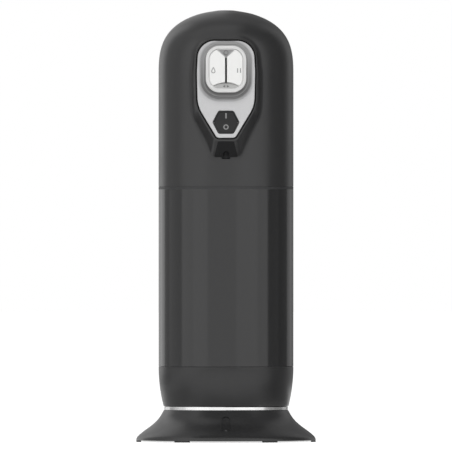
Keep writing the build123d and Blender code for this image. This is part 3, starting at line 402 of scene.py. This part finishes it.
def makeTurnedLines():
    # fine lathe or brush lines, as height and as a roughness mask
    look = effectLook
    tree, start, end = newGroup(
        "turnedLines",
        [("Along", "NodeSocketVector", (1.0, 1.0, 60.0)), ("Fineness", "NodeSocketFloat", 60.0)],
        [("Height", "NodeSocketFloat"), ("Streaks", "NodeSocketFloat")],
    )
    coords = newNode(tree, "ShaderNodeTexCoord", (-900, 300))
    stretch = newNode(tree, "ShaderNodeVectorMath", (-650, 200), operation="MULTIPLY")
    tree.links.new(coords.outputs["Object"], stretch.inputs[0])
    tree.links.new(start.outputs["Along"], stretch.inputs[1])
    lines = noiseOn(tree, (-400, 200), stretch.outputs["Vector"], start.outputs["Fineness"], look["lineDetail"])
    lines.inputs["Roughness"].default_value = look["lineRoughness"]
    tree.links.new(lines.outputs["Fac"], end.inputs["Height"])
    tree.links.new(ranged(tree, lines.outputs["Fac"], *look["lineRange"], smooth=False), end.inputs["Streaks"])
    return tree


def makePanelOutline():
    # how far a point of the panel lies outside a rounded outline, and where it lies on the panel
    tree, start, end = newGroup(
        "panelOutline",
        [
            ("Middle", "NodeSocketFloat", 0.019), ("Half Width", "NodeSocketFloat", 0.0252),
            ("Half Height", "NodeSocketFloat", 0.0289), ("Corner", "NodeSocketFloat", 0.0195),
        ],
        [("Distance", "NodeSocketFloat"), ("Across", "NodeSocketFloat"), ("Up", "NodeSocketFloat")],
    )
    coords = newNode(tree, "ShaderNodeTexCoord", (-900, 300))
    onPanel = newNode(tree, "ShaderNodeMapping", (-700, 300), vector_type="TEXTURE")
    onPanel.inputs["Location"].default_value = panel.translation
    onPanel.inputs["Rotation"].default_value = panel.to_euler()
    split = newNode(tree, "ShaderNodeSeparateXYZ", (-500, 300))
    tree.links.new(coords.outputs["Object"], onPanel.inputs["Vector"])
    tree.links.new(onPanel.outputs["Vector"], split.inputs[0])
    across = maths(tree, "ABSOLUTE", split.outputs["X"])
    up = maths(tree, "SUBTRACT", split.outputs["Y"], start.outputs["Middle"])
    height = maths(tree, "ABSOLUTE", up)
    inWidth = maths(tree, "SUBTRACT", start.outputs["Half Width"], start.outputs["Corner"])
    inHeight = maths(tree, "SUBTRACT", start.outputs["Half Height"], start.outputs["Corner"])
    besideX = maths(tree, "SUBTRACT", across, inWidth)
    besideY = maths(tree, "SUBTRACT", height, inHeight)
    outX = maths(tree, "MAXIMUM", besideX, 0.0)
    outY = maths(tree, "MAXIMUM", besideY, 0.0)
    squareX, squareY = maths(tree, "MULTIPLY", outX, outX), maths(tree, "MULTIPLY", outY, outY)
    squares = maths(tree, "ADD", squareX, squareY)
    inside = maths(tree, "MINIMUM", maths(tree, "MAXIMUM", besideX, besideY), 0.0)
    reach = maths(tree, "ADD", maths(tree, "SQRT", squares), inside)
    tree.links.new(maths(tree, "SUBTRACT", reach, start.outputs["Corner"]), end.inputs["Distance"])
    tree.links.new(split.outputs["X"], end.inputs["Across"])
    tree.links.new(split.outputs["Y"], end.inputs["Up"])
    return tree


# where the panel lies: its pivot's place on it, up from its origin and behind its face
panelPlace = {"pivotUp": -33.5 * mm, "pivotDepth": 2.0 * mm}


def findPanel():
    out = -Vector(joints["water_key_press"]["axis"])
    across = Vector((1, 0, 0))
    up = out.cross(across)
    pivot = Vector(joints["power_rock"]["pos_m"])
    origin = pivot - up * panelPlace["pivotUp"] + out * panelPlace["pivotDepth"]
    # columns: across the panel, up it, and out of it
    turn = Matrix((across, up, out)).transposed().to_4x4()
    return Matrix.Translation(origin) @ turn


panel = findPanel()
panelOutline = makePanelOutline()
mouldGrain = makeMouldGrain()
wornEdges = makeWornEdges()
restingDust = makeRestingDust()
turnedLines = makeTurnedLines()
print("shared effects ready")


def placeGroup(tree, group, place, **values):
    made = newNode(tree, "ShaderNodeGroup", place, node_tree=group)
    for label, value in values.items():
        made.inputs[label].default_value = value
    return made


def closeFinish(finish, colour, rough, height, depth, metallic=0.0):
    # the shader that every finish of the part ends in, with the fine relief of its surface
    tree = finish.node_tree
    out = newNode(tree, "ShaderNodeOutputMaterial", (900, 0))
    shader = newNode(tree, "ShaderNodeBsdfPrincipled", (600, 0))
    shader.inputs["Metallic"].default_value = metallic
    bump = newNode(tree, "ShaderNodeBump", (250, -350))
    bump.inputs["Strength"].default_value = 1.0
    bump.inputs["Distance"].default_value = depth
    tree.links.new(height, bump.inputs["Height"])
    tree.links.new(bump.outputs["Normal"], shader.inputs["Normal"])
    tree.links.new(colour, shader.inputs["Base Color"])
    tree.links.new(rough, shader.inputs["Roughness"])
    tree.links.new(shader.outputs[0], out.inputs[0])
    return shader


dustColour = (0.35, 0.34, 0.33)

# colour, colour of worn edges, roughness from patch to patch, grain size and depth, width of the
# worn edges, and where they differ from none and from the shader's own, dust and shine
plastics = {
    "shell_black": {
        "colour": (0.0135, 0.0135, 0.014), "edge": (0.035, 0.035, 0.035), "rough": (0.28, 0.33),
        "grain": 2600, "depth": 0.000012, "dust": 0.03, "edgeWidth": 0.0004,
    },
    "sleeve_black": {
        "colour": (0.0135, 0.0135, 0.014), "edge": (0.035, 0.035, 0.035), "rough": (0.12, 0.15),
        "grain": 3200, "depth": 0.000001, "edgeWidth": 0.0004,
    },
    "rocker_black": {
        "colour": (0.013, 0.013, 0.0135), "edge": (0.03, 0.03, 0.03), "rough": (0.40, 0.48),
        "grain": 3600, "depth": 0.00002, "edgeWidth": 0.0003, "shine": 0.27,
    },
    "black_plastic": {
        "colour": (0.012, 0.012, 0.013), "edge": (0.03, 0.03, 0.03), "rough": (0.42, 0.55),
        "grain": 1800, "depth": 0.00003, "dust": 0.03, "edgeWidth": 0.0004,
    },
    # darker than the shell: painted shade of the chin under the panel
    "chin_black": {
        "colour": (0.007, 0.007, 0.0075), "edge": (0.012, 0.012, 0.012), "rough": (0.50, 0.60),
        "grain": 1800, "depth": 0.00002, "edgeWidth": 0.0003, "shine": 0.2,
    },
    "window_lens": {
        "colour": (0.012, 0.012, 0.0125), "edge": (0.02, 0.02, 0.02), "rough": (0.30, 0.36),
        "grain": 1500, "depth": 0.000004, "edgeWidth": 0.0002, "shine": 0.52,
    },
    # grey of the lower seam ring: a painted highlight along the seam
    "seam_grey": {
        "colour": (0.060, 0.060, 0.060), "edge": (0.07, 0.07, 0.07), "rough": (0.30, 0.40),
        "grain": 2200, "depth": 0.000005, "edgeWidth": 0.0002,
    },
    "lamp_grey": {
        "colour": (0.15, 0.15, 0.15), "edge": (0.19, 0.19, 0.19), "rough": (0.22, 0.30),
        "grain": 2200, "depth": 0.000005, "edgeWidth": 0.0002,
    },
    "lamp_smoke": {
        "colour": (0.080, 0.080, 0.080), "edge": (0.10, 0.10, 0.10), "rough": (0.45, 0.55),
        "grain": 2200, "depth": 0.000005, "edgeWidth": 0.0002, "shine": 0.3,
    },
    "pale_grey": {
        "colour": (0.42, 0.42, 0.415), "edge": (0.52, 0.52, 0.51), "rough": (0.28, 0.36),
        "grain": 2400, "depth": 0.000005, "edgeWidth": 0.0002,
    },
    "mark_ink": {
        "colour": (0.22, 0.22, 0.22), "edge": (0.28, 0.28, 0.28), "rough": (0.45, 0.60),
        "grain": 5200, "depth": 0.000004, "edgeWidth": 0.0001,
    },
    "arrow_ink": {
        "colour": (0.12, 0.12, 0.12), "edge": (0.16, 0.16, 0.16), "rough": (0.45, 0.60),
        "grain": 5200, "depth": 0.000004, "edgeWidth": 0.0001,
    },
    "key_ink": {
        "colour": (0.30, 0.30, 0.30), "edge": (0.36, 0.36, 0.36), "rough": (0.40, 0.55),
        "grain": 5200, "depth": 0.000004, "edgeWidth": 0.0001,
    },
    "key_white": {
        "colour": (0.80, 0.80, 0.79), "edge": (0.84, 0.84, 0.83), "rough": (0.28, 0.36),
        "grain": 2600, "depth": 0.000005, "edgeWidth": 0.0003,
    },
    "frame_white": {
        "colour": (0.64, 0.64, 0.635), "edge": (0.76, 0.76, 0.75), "rough": (0.28, 0.36),
        "grain": 2600, "depth": 0.000005, "edgeWidth": 0.0006,
    },
    "grey_plastic": {
        "colour": (0.42, 0.43, 0.44), "edge": (0.55, 0.55, 0.55), "rough": (0.40, 0.52),
        "grain": 1600, "depth": 0.00002, "edgeWidth": 0.0004,
    },
    "hose_clear": {
        "colour": (0.62, 0.63, 0.62), "edge": (0.70, 0.70, 0.70), "rough": (0.25, 0.35),
        "grain": 1500, "depth": 0.00001, "edgeWidth": 0.0002,
    },
    "board_green": {
        "colour": (0.02, 0.10, 0.04), "edge": (0.20, 0.18, 0.10), "rough": (0.25, 0.40),
        "grain": 900, "depth": 0.00001, "edgeWidth": 0.0003,
    },
    "black_rubber": {
        "colour": (0.016, 0.016, 0.016), "edge": (0.04, 0.04, 0.04), "rough": (0.70, 0.85),
        "grain": 1100, "depth": 0.00005, "dust": 0.06, "edgeWidth": 0.0005,
    },
    # near black, darker than the rubber: painted shade in the gap round the fascia and in the slit between the
    # keys
    "seal_black": {
        "colour": (0.004, 0.004, 0.004), "edge": (0.008, 0.008, 0.008), "rough": (0.80, 0.95),
        "grain": 1100, "depth": 0.00003, "edgeWidth": 0.0003, "shine": 0.1,
    },
}


def makePlastic(name, look):
    made = emptyMaterial(name)
    tree = made.node_tree
    grain = placeGroup(tree, mouldGrain, (-600, -300), **{"Grain Size": look["grain"]})
    worn = placeGroup(tree, wornEdges, (-600, 100), Width=look["edgeWidth"])
    colour = mixed(tree, (0, 200), worn.outputs["Edge"], look["colour"], look["edge"], "RGBA")
    if "dust" in look:
        dust = placeGroup(tree, restingDust, (-600, 300), Amount=look["dust"])
        colour = mixed(tree, (250, 250), dust.outputs["Dust"], colour, dustColour, "RGBA")
    rough = mixed(tree, (0, -100), grain.outputs["Patches"], *look["rough"])
    shader = closeFinish(made, colour, rough, grain.outputs["Height"], look["depth"])
    if "shine" in look:
        shader.inputs["Specular IOR Level"].default_value = look["shine"]
    return made


stainSize = 900.0

# colour, stained colour, roughness, direction and fineness of the machining lines, and their depth
metals = {
    "chrome_ring": {
        "colour": (0.74, 0.74, 0.74), "stain": (0.70, 0.70, 0.70), "rough": (0.16, 0.22),
        "along": (1.0, 1.0, 40.0), "fine": 60.0, "depth": 0.000003,
    },
    "steel": {
        "colour": (0.62, 0.62, 0.61), "stain": (0.52, 0.51, 0.50), "rough": (0.22, 0.36),
        "along": (1.0, 1.0, 30.0), "fine": 70.0, "depth": 0.000006,
    },
    "brass": {
        "colour": (0.70, 0.52, 0.25), "stain": (0.56, 0.38, 0.18), "rough": (0.24, 0.42),
        "along": (1.0, 1.0, 25.0), "fine": 90.0, "depth": 0.000006,
    },
}


def makeMetal(name, look):
    made = emptyMaterial(name)
    tree = made.node_tree
    lines = placeGroup(tree, turnedLines, (-600, -200), Along=look["along"], Fineness=look["fine"])
    grain = placeGroup(tree, mouldGrain, (-600, 200), **{"Grain Size": stainSize})
    colour = mixed(tree, (0, 200), grain.outputs["Patches"], look["colour"], look["stain"], "RGBA")
    rough = mixed(tree, (0, -100), lines.outputs["Streaks"], *look["rough"])
    closeFinish(made, colour, rough, lines.outputs["Height"], look["depth"], metallic=1.0)
    return made


# the well's outline in the panel: middle, half sizes and corner
wellOutline = {"Middle": 19.1 * mm, "Half Width": 25.2 * mm, "Half Height": 28.9 * mm, "Corner": 19.5 * mm}

# painted shade: the paint is made darker towards the well, most of all under it, as the shade of that recess
fasciaLook = {
    "colour": (0.45, 0.45, 0.455), "flake": (0.53, 0.53, 0.535), "shade": (0.20, 0.20, 0.205),
    "rough": (0.34, 0.42), "metallic": 0.25, "flakeSize": 5200.0, "grain": 3000.0, "depth": 0.000003,
    "sideReach": 2.8 * mm, "lowReach": 9.5 * mm, "lowRange": (12 * mm, -10 * mm), "fall": 2.5, "strength": 0.72,
}


def makeSilverPaint():
    look = fasciaLook
    made = emptyMaterial("fascia_silver")
    tree = made.node_tree
    coords = newNode(tree, "ShaderNodeTexCoord", (-900, 0))
    flakes = newNode(tree, "ShaderNodeTexVoronoi", (-600, 0))
    flakes.inputs["Scale"].default_value = look["flakeSize"]
    split = newNode(tree, "ShaderNodeSeparateColor", (-350, 0))
    tree.links.new(coords.outputs["Object"], flakes.inputs["Vector"])
    tree.links.new(flakes.outputs["Color"], split.inputs[0])
    grain = placeGroup(tree, mouldGrain, (-600, -400), **{"Grain Size": look["grain"]})
    colour = mixed(tree, (0, 200), split.outputs[0], look["colour"], look["flake"], "RGBA")
    outline = placeGroup(tree, panelOutline, (-600, 500), **wellOutline)
    # painted shade round the well's outline, reaching furthest below it
    under = ranged(tree, outline.outputs["Up"], *look["lowRange"])
    reach = mixed(tree, (-200, 500), under, look["sideReach"], look["lowReach"])
    near = maths(tree, "DIVIDE", outline.outputs["Distance"], reach, clamp=True)
    close = maths(tree, "POWER", maths(tree, "SUBTRACT", 1.0, near), look["fall"])
    paintedShade = maths(tree, "MULTIPLY", close, look["strength"])
    colour = mixed(tree, (250, 400), paintedShade, colour, look["shade"], "RGBA")
    rough = mixed(tree, (0, -100), grain.outputs["Patches"], *look["rough"])
    closeFinish(made, colour, rough, grain.outputs["Height"], look["depth"], look["metallic"])
    return made


# colours at the top and foot of the well, darker at the foot as painted shade under the frame, of its bead, a
# painted highlight, and of the groove by the frame, a painted shade, and where the bead and the groove lie
# inside the well's outline
wellLook = {
    "top": (0.275, 0.275, 0.275), "foot": (0.125, 0.125, 0.125), "toneRange": (40 * mm, -6 * mm),
    "bead": (0.34, 0.34, 0.34), "beadPlace": -2.9 * mm, "beadHalf": 0.7 * mm, "beadShare": 0.45,
    "groove": (0.07, 0.07, 0.07), "groovePlace": -4.4 * mm, "grooveSoft": 0.7 * mm, "grooveShare": 0.6,
    "rough": (0.45, 0.55), "grain": 3000.0, "depth": 0.00001,
}


def makeWellRubber():
    look = wellLook
    made = emptyMaterial("well_grey")
    tree = made.node_tree
    outline = placeGroup(tree, panelOutline, (-600, 500), **wellOutline)
    distance = outline.outputs["Distance"]
    grain = placeGroup(tree, mouldGrain, (-600, -300), **{"Grain Size": look["grain"]})
    # painted shade: darker towards the foot of the well, under the frame
    low = ranged(tree, outline.outputs["Up"], *look["toneRange"])
    colour = mixed(tree, (0, 200), low, look["top"], look["foot"], "RGBA")
    # painted highlight along the crest of the bead
    offset = maths(tree, "ABSOLUTE", maths(tree, "SUBTRACT", distance, look["beadPlace"]))
    bead = maths(tree, "MULTIPLY", ranged(tree, offset, look["beadHalf"], 0.0), look["beadShare"])
    colour = mixed(tree, (150, 250), bead, colour, look["bead"], "RGBA")
    # painted shade in the groove by the frame
    inner = ranged(tree, distance, look["groovePlace"] + look["grooveSoft"], look["groovePlace"])
    groove = maths(tree, "MULTIPLY", inner, look["grooveShare"])
    colour = mixed(tree, (300, 300), groove, colour, look["groove"], "RGBA")
    rough = mixed(tree, (0, -100), grain.outputs["Patches"], *look["rough"])
    closeFinish(made, colour, rough, grain.outputs["Height"], look["depth"])
    return made


# painted shade: the lens is darkest in its middle and paler towards the keys, the shade of its recessed facet:
# its tip, and half width per rise
lensLook = {
    "dark": (0.26, 0.26, 0.26), "pale": (0.52, 0.52, 0.52), "paleWidth": 1.9 * mm,
    "tipUp": 31.85 * mm, "flare": 9.8 / 8.8, "rough": (0.20, 0.28), "grain": 2200.0, "depth": 0.000004,
}


def makeLensFinish():
    look = lensLook
    made = emptyMaterial("lens_grey")
    tree = made.node_tree
    outline = placeGroup(tree, panelOutline, (-600, 500))
    grain = placeGroup(tree, mouldGrain, (-600, -300), **{"Grain Size": look["grain"]})
    # painted shade, darkest along the facet's middle
    side = maths(tree, "MULTIPLY", maths(tree, "SUBTRACT", outline.outputs["Up"], look["tipUp"]), look["flare"])
    margin = maths(tree, "SUBTRACT", side, maths(tree, "ABSOLUTE", outline.outputs["Across"]))
    middle = ranged(tree, margin, 0.0, look["paleWidth"])
    colour = mixed(tree, (150, 250), middle, look["pale"], look["dark"], "RGBA")
    rough = mixed(tree, (0, -100), grain.outputs["Patches"], *look["rough"])
    closeFinish(made, colour, rough, grain.outputs["Height"], look["depth"])
    return made


finishes = {name: makePlastic(name, look) for name, look in plastics.items()}
finishes.update({name: makeMetal(name, look) for name, look in metals.items()})
finishes["fascia_silver"] = makeSilverPaint()
finishes["well_grey"] = makeWellRubber()
finishes["lens_grey"] = makeLensFinish()

# solids whose finish differs from the rest of their slot
ownFinish = {
    # painted shade: the chin's insert and nozzle darker than the shell
    "spout_insert": "chin_black",
    "spout_nozzle": "chin_black",
    # the gasket round the fascia, made near black as painted shade of the gap there
    "fascia_gasket": "seal_black",
}
for name, solid in nodes.items():
    for slot in solid.material_slots:
        packed = slot.material.name.split(".")[0]
        slot.material = finishes[ownFinish.get(name, packed)]
print("finishes ready")


# how every added piece is closed: its doubles merged, and its edges sharp past an angle in degrees
pieceFinish = {"weld": 0.001 * mm, "sharpAngle": 30, "barSteps": 4}


def sloped(rise, out):
    # leans a flat outline: rise is height gained per length up, out its height at the middle line
    lean = Matrix.Identity(4)
    lean[2][1] = rise
    lean[2][3] = out
    return lean


def thicken(bm, thickness):
    raised = bmesh.ops.extrude_face_region(bm, geom=bm.faces[:])
    verts = [item for item in raised["geom"] if isinstance(item, bmesh.types.BMVert)]
    bmesh.ops.translate(bm, vec=(0, 0, thickness), verts=verts)
    bmesh.ops.recalc_face_normals(bm, faces=bm.faces)


def openMiddle(bm, width):
    # leaves a ring of the given width round the outline
    bmesh.ops.inset_region(bm, faces=bm.faces[:], thickness=width, use_boundary=True, use_even_offset=True)
    middle = min(bm.faces, key=lambda face: (face.calc_center_median().length, -face.calc_area()))
    bmesh.ops.delete(bm, geom=[middle], context="FACES")


def softenTop(bm, thick, width, segments):
    # rounds the edges that lie in the upper half of a thickened outline
    top = [edge for edge in bm.edges if all(vert.co.z > thick / 2 for vert in edge.verts)]
    bmesh.ops.bevel(bm, geom=top, offset=width, segments=segments, profile=0.5, affect="EDGES", material=-1)


def roundCorners(bm, radius, segments):
    bmesh.ops.bevel(
        bm, geom=bm.verts[:], offset=radius, segments=segments, profile=0.5, affect="VERTICES", material=-1
    )


def cutAway(bm, place, outward):
    everything = bm.verts[:] + bm.edges[:] + bm.faces[:]
    bmesh.ops.bisect_plane(bm, geom=everything, plane_co=place, plane_no=outward, clear_outer=True)


def finishPiece(name, bm, body, finish):
    bmesh.ops.remove_doubles(bm, verts=bm.verts, dist=pieceFinish["weld"])
    bmesh.ops.recalc_face_normals(bm, faces=bm.faces)
    mesh = meshOf(name, bm)
    mesh.shade_smooth()
    mesh.set_sharp_from_angle(angle=radians(pieceFinish["sharpAngle"]))
    mesh.materials.append(finishes[finish])
    piece = linked(name, mesh)
    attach(piece, body)
    return piece


def finishOnPanel(name, bm, place, body, finish):
    bmesh.ops.transform(bm, matrix=panel @ place, verts=bm.verts)
    finishPiece(name, bm, body, finish)


# outlined drop: a circle whose upper half is drawn out to the tip and narrowed
dropMark = {
    "across": -12.6 * mm, "up": 18.15 * mm, "out": 0.28 * mm, "thick": 0.07 * mm,
    "radius": 2.15 * mm, "tip": 4.1 * mm, "narrow": 0.30, "line": 0.85 * mm, "segments": 40,
}


def makeDropMark():
    look = dropMark
    bm = bmesh.new()
    bmesh.ops.create_circle(bm, cap_ends=True, segments=look["segments"], radius=look["radius"])
    for vert in bm.verts:
        rise = max(0.0, vert.co.y / look["radius"])
        vert.co.y *= 1 + (look["tip"] / look["radius"] - 1) * rise
        vert.co.x *= 1 - look["narrow"] * rise
    openMiddle(bm, look["line"])
    thicken(bm, look["thick"])
    place = Matrix.Translation((look["across"], look["up"], look["out"]))
    finishOnPanel("dropMark", bm, place, "water_key", "key_ink")


pauseMark = {
    "across": (11.5 * mm, 14.45 * mm), "up": 18.8 * mm, "out": 0.28 * mm, "thick": 0.07 * mm,
    "width": 1.1 * mm, "height": 4.6 * mm, "corner": 0.3 * mm,
}


def addBar(bm, width, height, corner, place, thick):
    bar = bmesh.new()
    bmesh.ops.create_grid(bar, x_segments=1, y_segments=1, size=0.5)
    bmesh.ops.scale(bar, vec=(width, height, 1), verts=bar.verts)
    roundCorners(bar, corner, pieceFinish["barSteps"])
    thicken(bar, thick)
    bmesh.ops.transform(bar, matrix=place, verts=bar.verts)
    kept = meshOf("bar", bar)
    bm.from_mesh(kept)
    bpy.data.meshes.remove(kept)


def makePauseMark():
    look = pauseMark
    bm = bmesh.new()
    for across in look["across"]:
        place = Matrix.Translation((across, look["up"], look["out"]))
        addBar(bm, look["width"], look["height"], look["corner"], place, look["thick"])
    finishOnPanel("pauseMark", bm, Matrix.Identity(4), "gas_key", "key_ink")


# the rocker's two flats meet at a low V, and the upper one leans out by the rocker's throw
rockerMarks = {
    "meetUp": -33.739 * mm, "meetOut": 0.275 * mm, "lean": 12.0, "thick": 0.08 * mm, "sink": 0.02 * mm,
    "onUp": -27.2 * mm, "onWidth": 1.3 * mm, "onHeight": 5.3 * mm, "onCorner": 0.3 * mm,
    "offUp": -38.3 * mm, "offRadius": 2.65 * mm, "offLine": 1.1 * mm, "offSegments": 48,
}


def makeRockerMarks():
    look = rockerMarks
    slope = tan(radians(look["lean"]))
    onOut = look["meetOut"] + (look["onUp"] - look["meetUp"]) * slope - look["sink"]
    bm = bmesh.new()
    place = Matrix.Translation((0, look["onUp"], onOut)) @ sloped(slope, 0)
    addBar(bm, look["onWidth"], look["onHeight"], look["onCorner"], place, look["thick"])
    finishOnPanel("onMark", bm, Matrix.Identity(4), "rocker", "mark_ink")
    bm = bmesh.new()
    bmesh.ops.create_circle(bm, cap_ends=True, segments=look["offSegments"], radius=look["offRadius"])
    openMiddle(bm, look["offLine"])
    thicken(bm, look["thick"])
    place = Matrix.Translation((0, look["offUp"], look["meetOut"] - look["sink"]))
    finishOnPanel("offMark", bm, place, "rocker", "mark_ink")


# lens plate on the upper facet, its grey a painted shade of that recessed facet, with a ring round its lamp:
# the facet's foot, and its rise
lampLens = {
    "slopeUp": 31.85 * mm, "slopeOut": -2.4 * mm, "slope": 2.9 / 8.3,
    "topUp": 40.0 * mm, "footUp": 32.0 * mm, "halfWidth": 9.0 * mm, "thick": 0.3 * mm,
    "corner": 0.6 * mm, "cornerSteps": 5, "soft": 0.12 * mm, "softSteps": 2,
    "ringUp": 36.9 * mm, "ringRadius": 2.5 * mm, "ringLine": 0.95 * mm, "ringThick": 0.08 * mm,
    "ringSegments": 40,
}


def makeLampLens():
    look = lampLens
    bm = bmesh.new()
    corners = ((-look["halfWidth"], look["topUp"]), (0, look["footUp"]), (look["halfWidth"], look["topUp"]))
    bm.faces.new([bm.verts.new((x, y, 0)) for x, y in corners])
    roundCorners(bm, look["corner"], look["cornerSteps"])
    thicken(bm, look["thick"])
    softenTop(bm, look["thick"], look["soft"], look["softSteps"])
    lean = sloped(look["slope"], look["slopeOut"] - look["slopeUp"] * look["slope"])
    finishOnPanel("lampLens", bm, lean, "head", "lens_grey")
    bm = bmesh.new()
    bmesh.ops.create_circle(bm, cap_ends=True, segments=look["ringSegments"], radius=look["ringRadius"])
    openMiddle(bm, look["ringLine"])
    thicken(bm, look["ringThick"])
    bmesh.ops.translate(bm, vec=(0, look["ringUp"], look["thick"]), verts=bm.verts)
    finishOnPanel("lampRing", bm, lean, "head", "lamp_grey")


# plate on the lower facet, its pale grey a painted shade of that recessed facet, lighter than the upper one's,
# the top of a wide circle, with two small arrows
arrowPlate = {
    "slopeUp": 6.85 * mm, "slopeOut": -2.4 * mm, "slope": -2.9 / 6.0,
    "lowUp": 0.75 * mm, "radius": 23.9 * mm, "topUp": 6.55 * mm, "halfWidth": 13.4 * mm, "segments": 160,
    "thick": 0.3 * mm, "soft": 0.12 * mm, "softSteps": 2,
    "arrows": (-1.7 * mm, 1.75 * mm), "arrowUp": 2.9 * mm, "arrowRadius": 1.6 * mm, "arrowThick": 0.08 * mm,
}


def makeArrowPlate():
    look = arrowPlate
    bm = bmesh.new()
    middle = Matrix.Translation((0, look["topUp"] - look["radius"], 0))
    bmesh.ops.create_circle(
        bm, cap_ends=True, segments=look["segments"], radius=look["radius"], matrix=middle
    )
    cutAway(bm, (0, look["lowUp"], 0), (0, -1, 0))
    cutAway(bm, (look["halfWidth"], 0, 0), (1, 0, 0))
    cutAway(bm, (-look["halfWidth"], 0, 0), (-1, 0, 0))
    thicken(bm, look["thick"])
    softenTop(bm, look["thick"], look["soft"], look["softSteps"])
    lean = sloped(look["slope"], look["slopeOut"] - look["slopeUp"] * look["slope"])
    finishOnPanel("arrowPlate", bm, lean, "head", "pale_grey")
    bm = bmesh.new()
    for across in look["arrows"]:
        point = Matrix.Rotation(pi if across < 0 else 0, 4, "Z") @ Matrix.Rotation(-pi / 2, 4, "Z")
        place = Matrix.Translation((across, look["arrowUp"], look["thick"])) @ point
        bmesh.ops.create_circle(bm, cap_ends=True, segments=3, radius=look["arrowRadius"], matrix=place)
    thicken(bm, look["arrowThick"])
    finishOnPanel("arrowMarks", bm, lean, "head", "arrow_ink")


# black strip in the slit between the keys, a dark piece standing as painted shade of the slit
slitStrip = {
    "halfWidth": 0.82 * mm, "lowUp": 7.4 * mm, "highUp": 31.4 * mm,
    "top": -0.05 * mm, "thick": 1.2 * mm, "round": 0.3 * mm, "roundSteps": 3,
}


def makeSlitStrip():
    look = slitStrip
    bm = bmesh.new()
    bmesh.ops.create_grid(bm, x_segments=1, y_segments=1, size=0.5)
    length = look["highUp"] - look["lowUp"]
    bmesh.ops.scale(bm, vec=(2 * look["halfWidth"], length, 1), verts=bm.verts)
    thicken(bm, look["thick"])
    softenTop(bm, look["thick"], look["round"], look["roundSteps"])
    middle = (look["highUp"] + look["lowUp"]) / 2
    place = Matrix.Translation((0, middle, look["top"] - look["thick"]))
    finishOnPanel("slitStrip", bm, place, "head", "seal_black")


# narrow rings in the seams of the housing, the lower one grey as a painted highlight along its seam: the solid
# above each, and the ring's radii
seamRings = {
    "upperSeamRing": {
        "body": "sleeve", "above": "head_shell", "finish": "sleeve_black",
        "inner": 59.4 * mm, "outer": 66.7 * mm,
    },
    "lowerSeamRing": {
        "body": "body", "above": "outer_sleeve", "finish": "seam_grey",
        "inner": 63.2 * mm, "outer": 66.7 * mm,
    },
}
# how far below that solid a ring starts, its height, and the share of it that its rim is softened by
seamFit = {"clearance": 0.03 * mm, "height": 0.20 * mm, "soft": 0.25, "steps": 192}


def makeSeamRing(name, look):
    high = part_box(look["above"])[0][2] - seamFit["clearance"]
    low = high - seamFit["height"]
    soft = (high - low) * seamFit["soft"]
    inner, outer = look["inner"], look["outer"]
    profile = (
        (inner, low), (outer - soft, low), (outer, low + soft),
        (outer, high - soft), (outer - soft, high), (inner, high),
    )
    bm = bmesh.new()
    verts = [bm.verts.new((radius, 0, height)) for radius, height in profile]
    edges = [bm.edges.new((first, second)) for first, second in zip(verts, verts[1:] + verts[:1])]
    bmesh.ops.spin(
        bm, geom=verts + edges, cent=(0, 0, 0), axis=(0, 0, 1), angle=2 * pi,
        steps=seamFit["steps"], use_merge=True,
    )
    finishPiece(name, bm, look["body"], look["finish"])


# a small lens on the base's window, standing square on its sloping face
windowLamp = {
    "height": 11.6 * mm, "radius": 1.1 * mm, "rise": 0.35 * mm, "segments": 32, "sightFrom": -0.2,
}


def makeWindowLamp():
    look = windowLamp
    sight = Vector((0, look["sightFrom"], look["height"]))
    hit = nodes["status_window"].ray_cast(sight, Vector((0, 1, 0)))
    place, outward = hit[1], hit[2]
    bm = bmesh.new()
    around = look["segments"]
    bmesh.ops.create_uvsphere(bm, u_segments=around, v_segments=around // 2, radius=look["radius"])
    cutAway(bm, (0, 0, 0), (0, 0, -1))
    bmesh.ops.scale(bm, vec=(1, 1, look["rise"] / look["radius"]), verts=bm.verts)
    rim = [edge for edge in bm.edges if edge.is_boundary]
    bmesh.ops.holes_fill(bm, edges=rim, sides=0)
    turn = outward.to_track_quat("Z", "Y").to_matrix().to_4x4()
    bmesh.ops.transform(bm, matrix=Matrix.Translation(place) @ turn, verts=bm.verts)
    finishPiece("windowLamp", bm, "base", "lamp_smoke")


# coil springs, each a copy of its solid carried by the head, with the joint of the part below it
coilSprings = {
    "reliefCoil": {"node": "relief_spring", "joint": "relief_stroke"},
    "gasCoil": {"node": "gas_spring", "joint": "gas_core_stroke"},
    "waterCoil": {"node": "water_spring", "joint": "water_core_stroke"},
}


def makeCoilSpring(name, look):
    bm = bmesh.new()
    bm.from_mesh(nodes[look["node"]].data)
    coil = finishPiece(name, bm, "head", "steel")
    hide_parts(look["node"])
    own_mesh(coil)


makeDropMark()
makePauseMark()
makeRockerMarks()
makeLampLens()
makeArrowPlate()
makeWindowLamp()
print("marks and lenses ready")
makeSlitStrip()
for name, look in seamRings.items():
    makeSeamRing(name, look)
print("strip and seam rings ready")
for name, look in coilSprings.items():
    makeCoilSpring(name, look)
print("coil springs ready")

print("done")
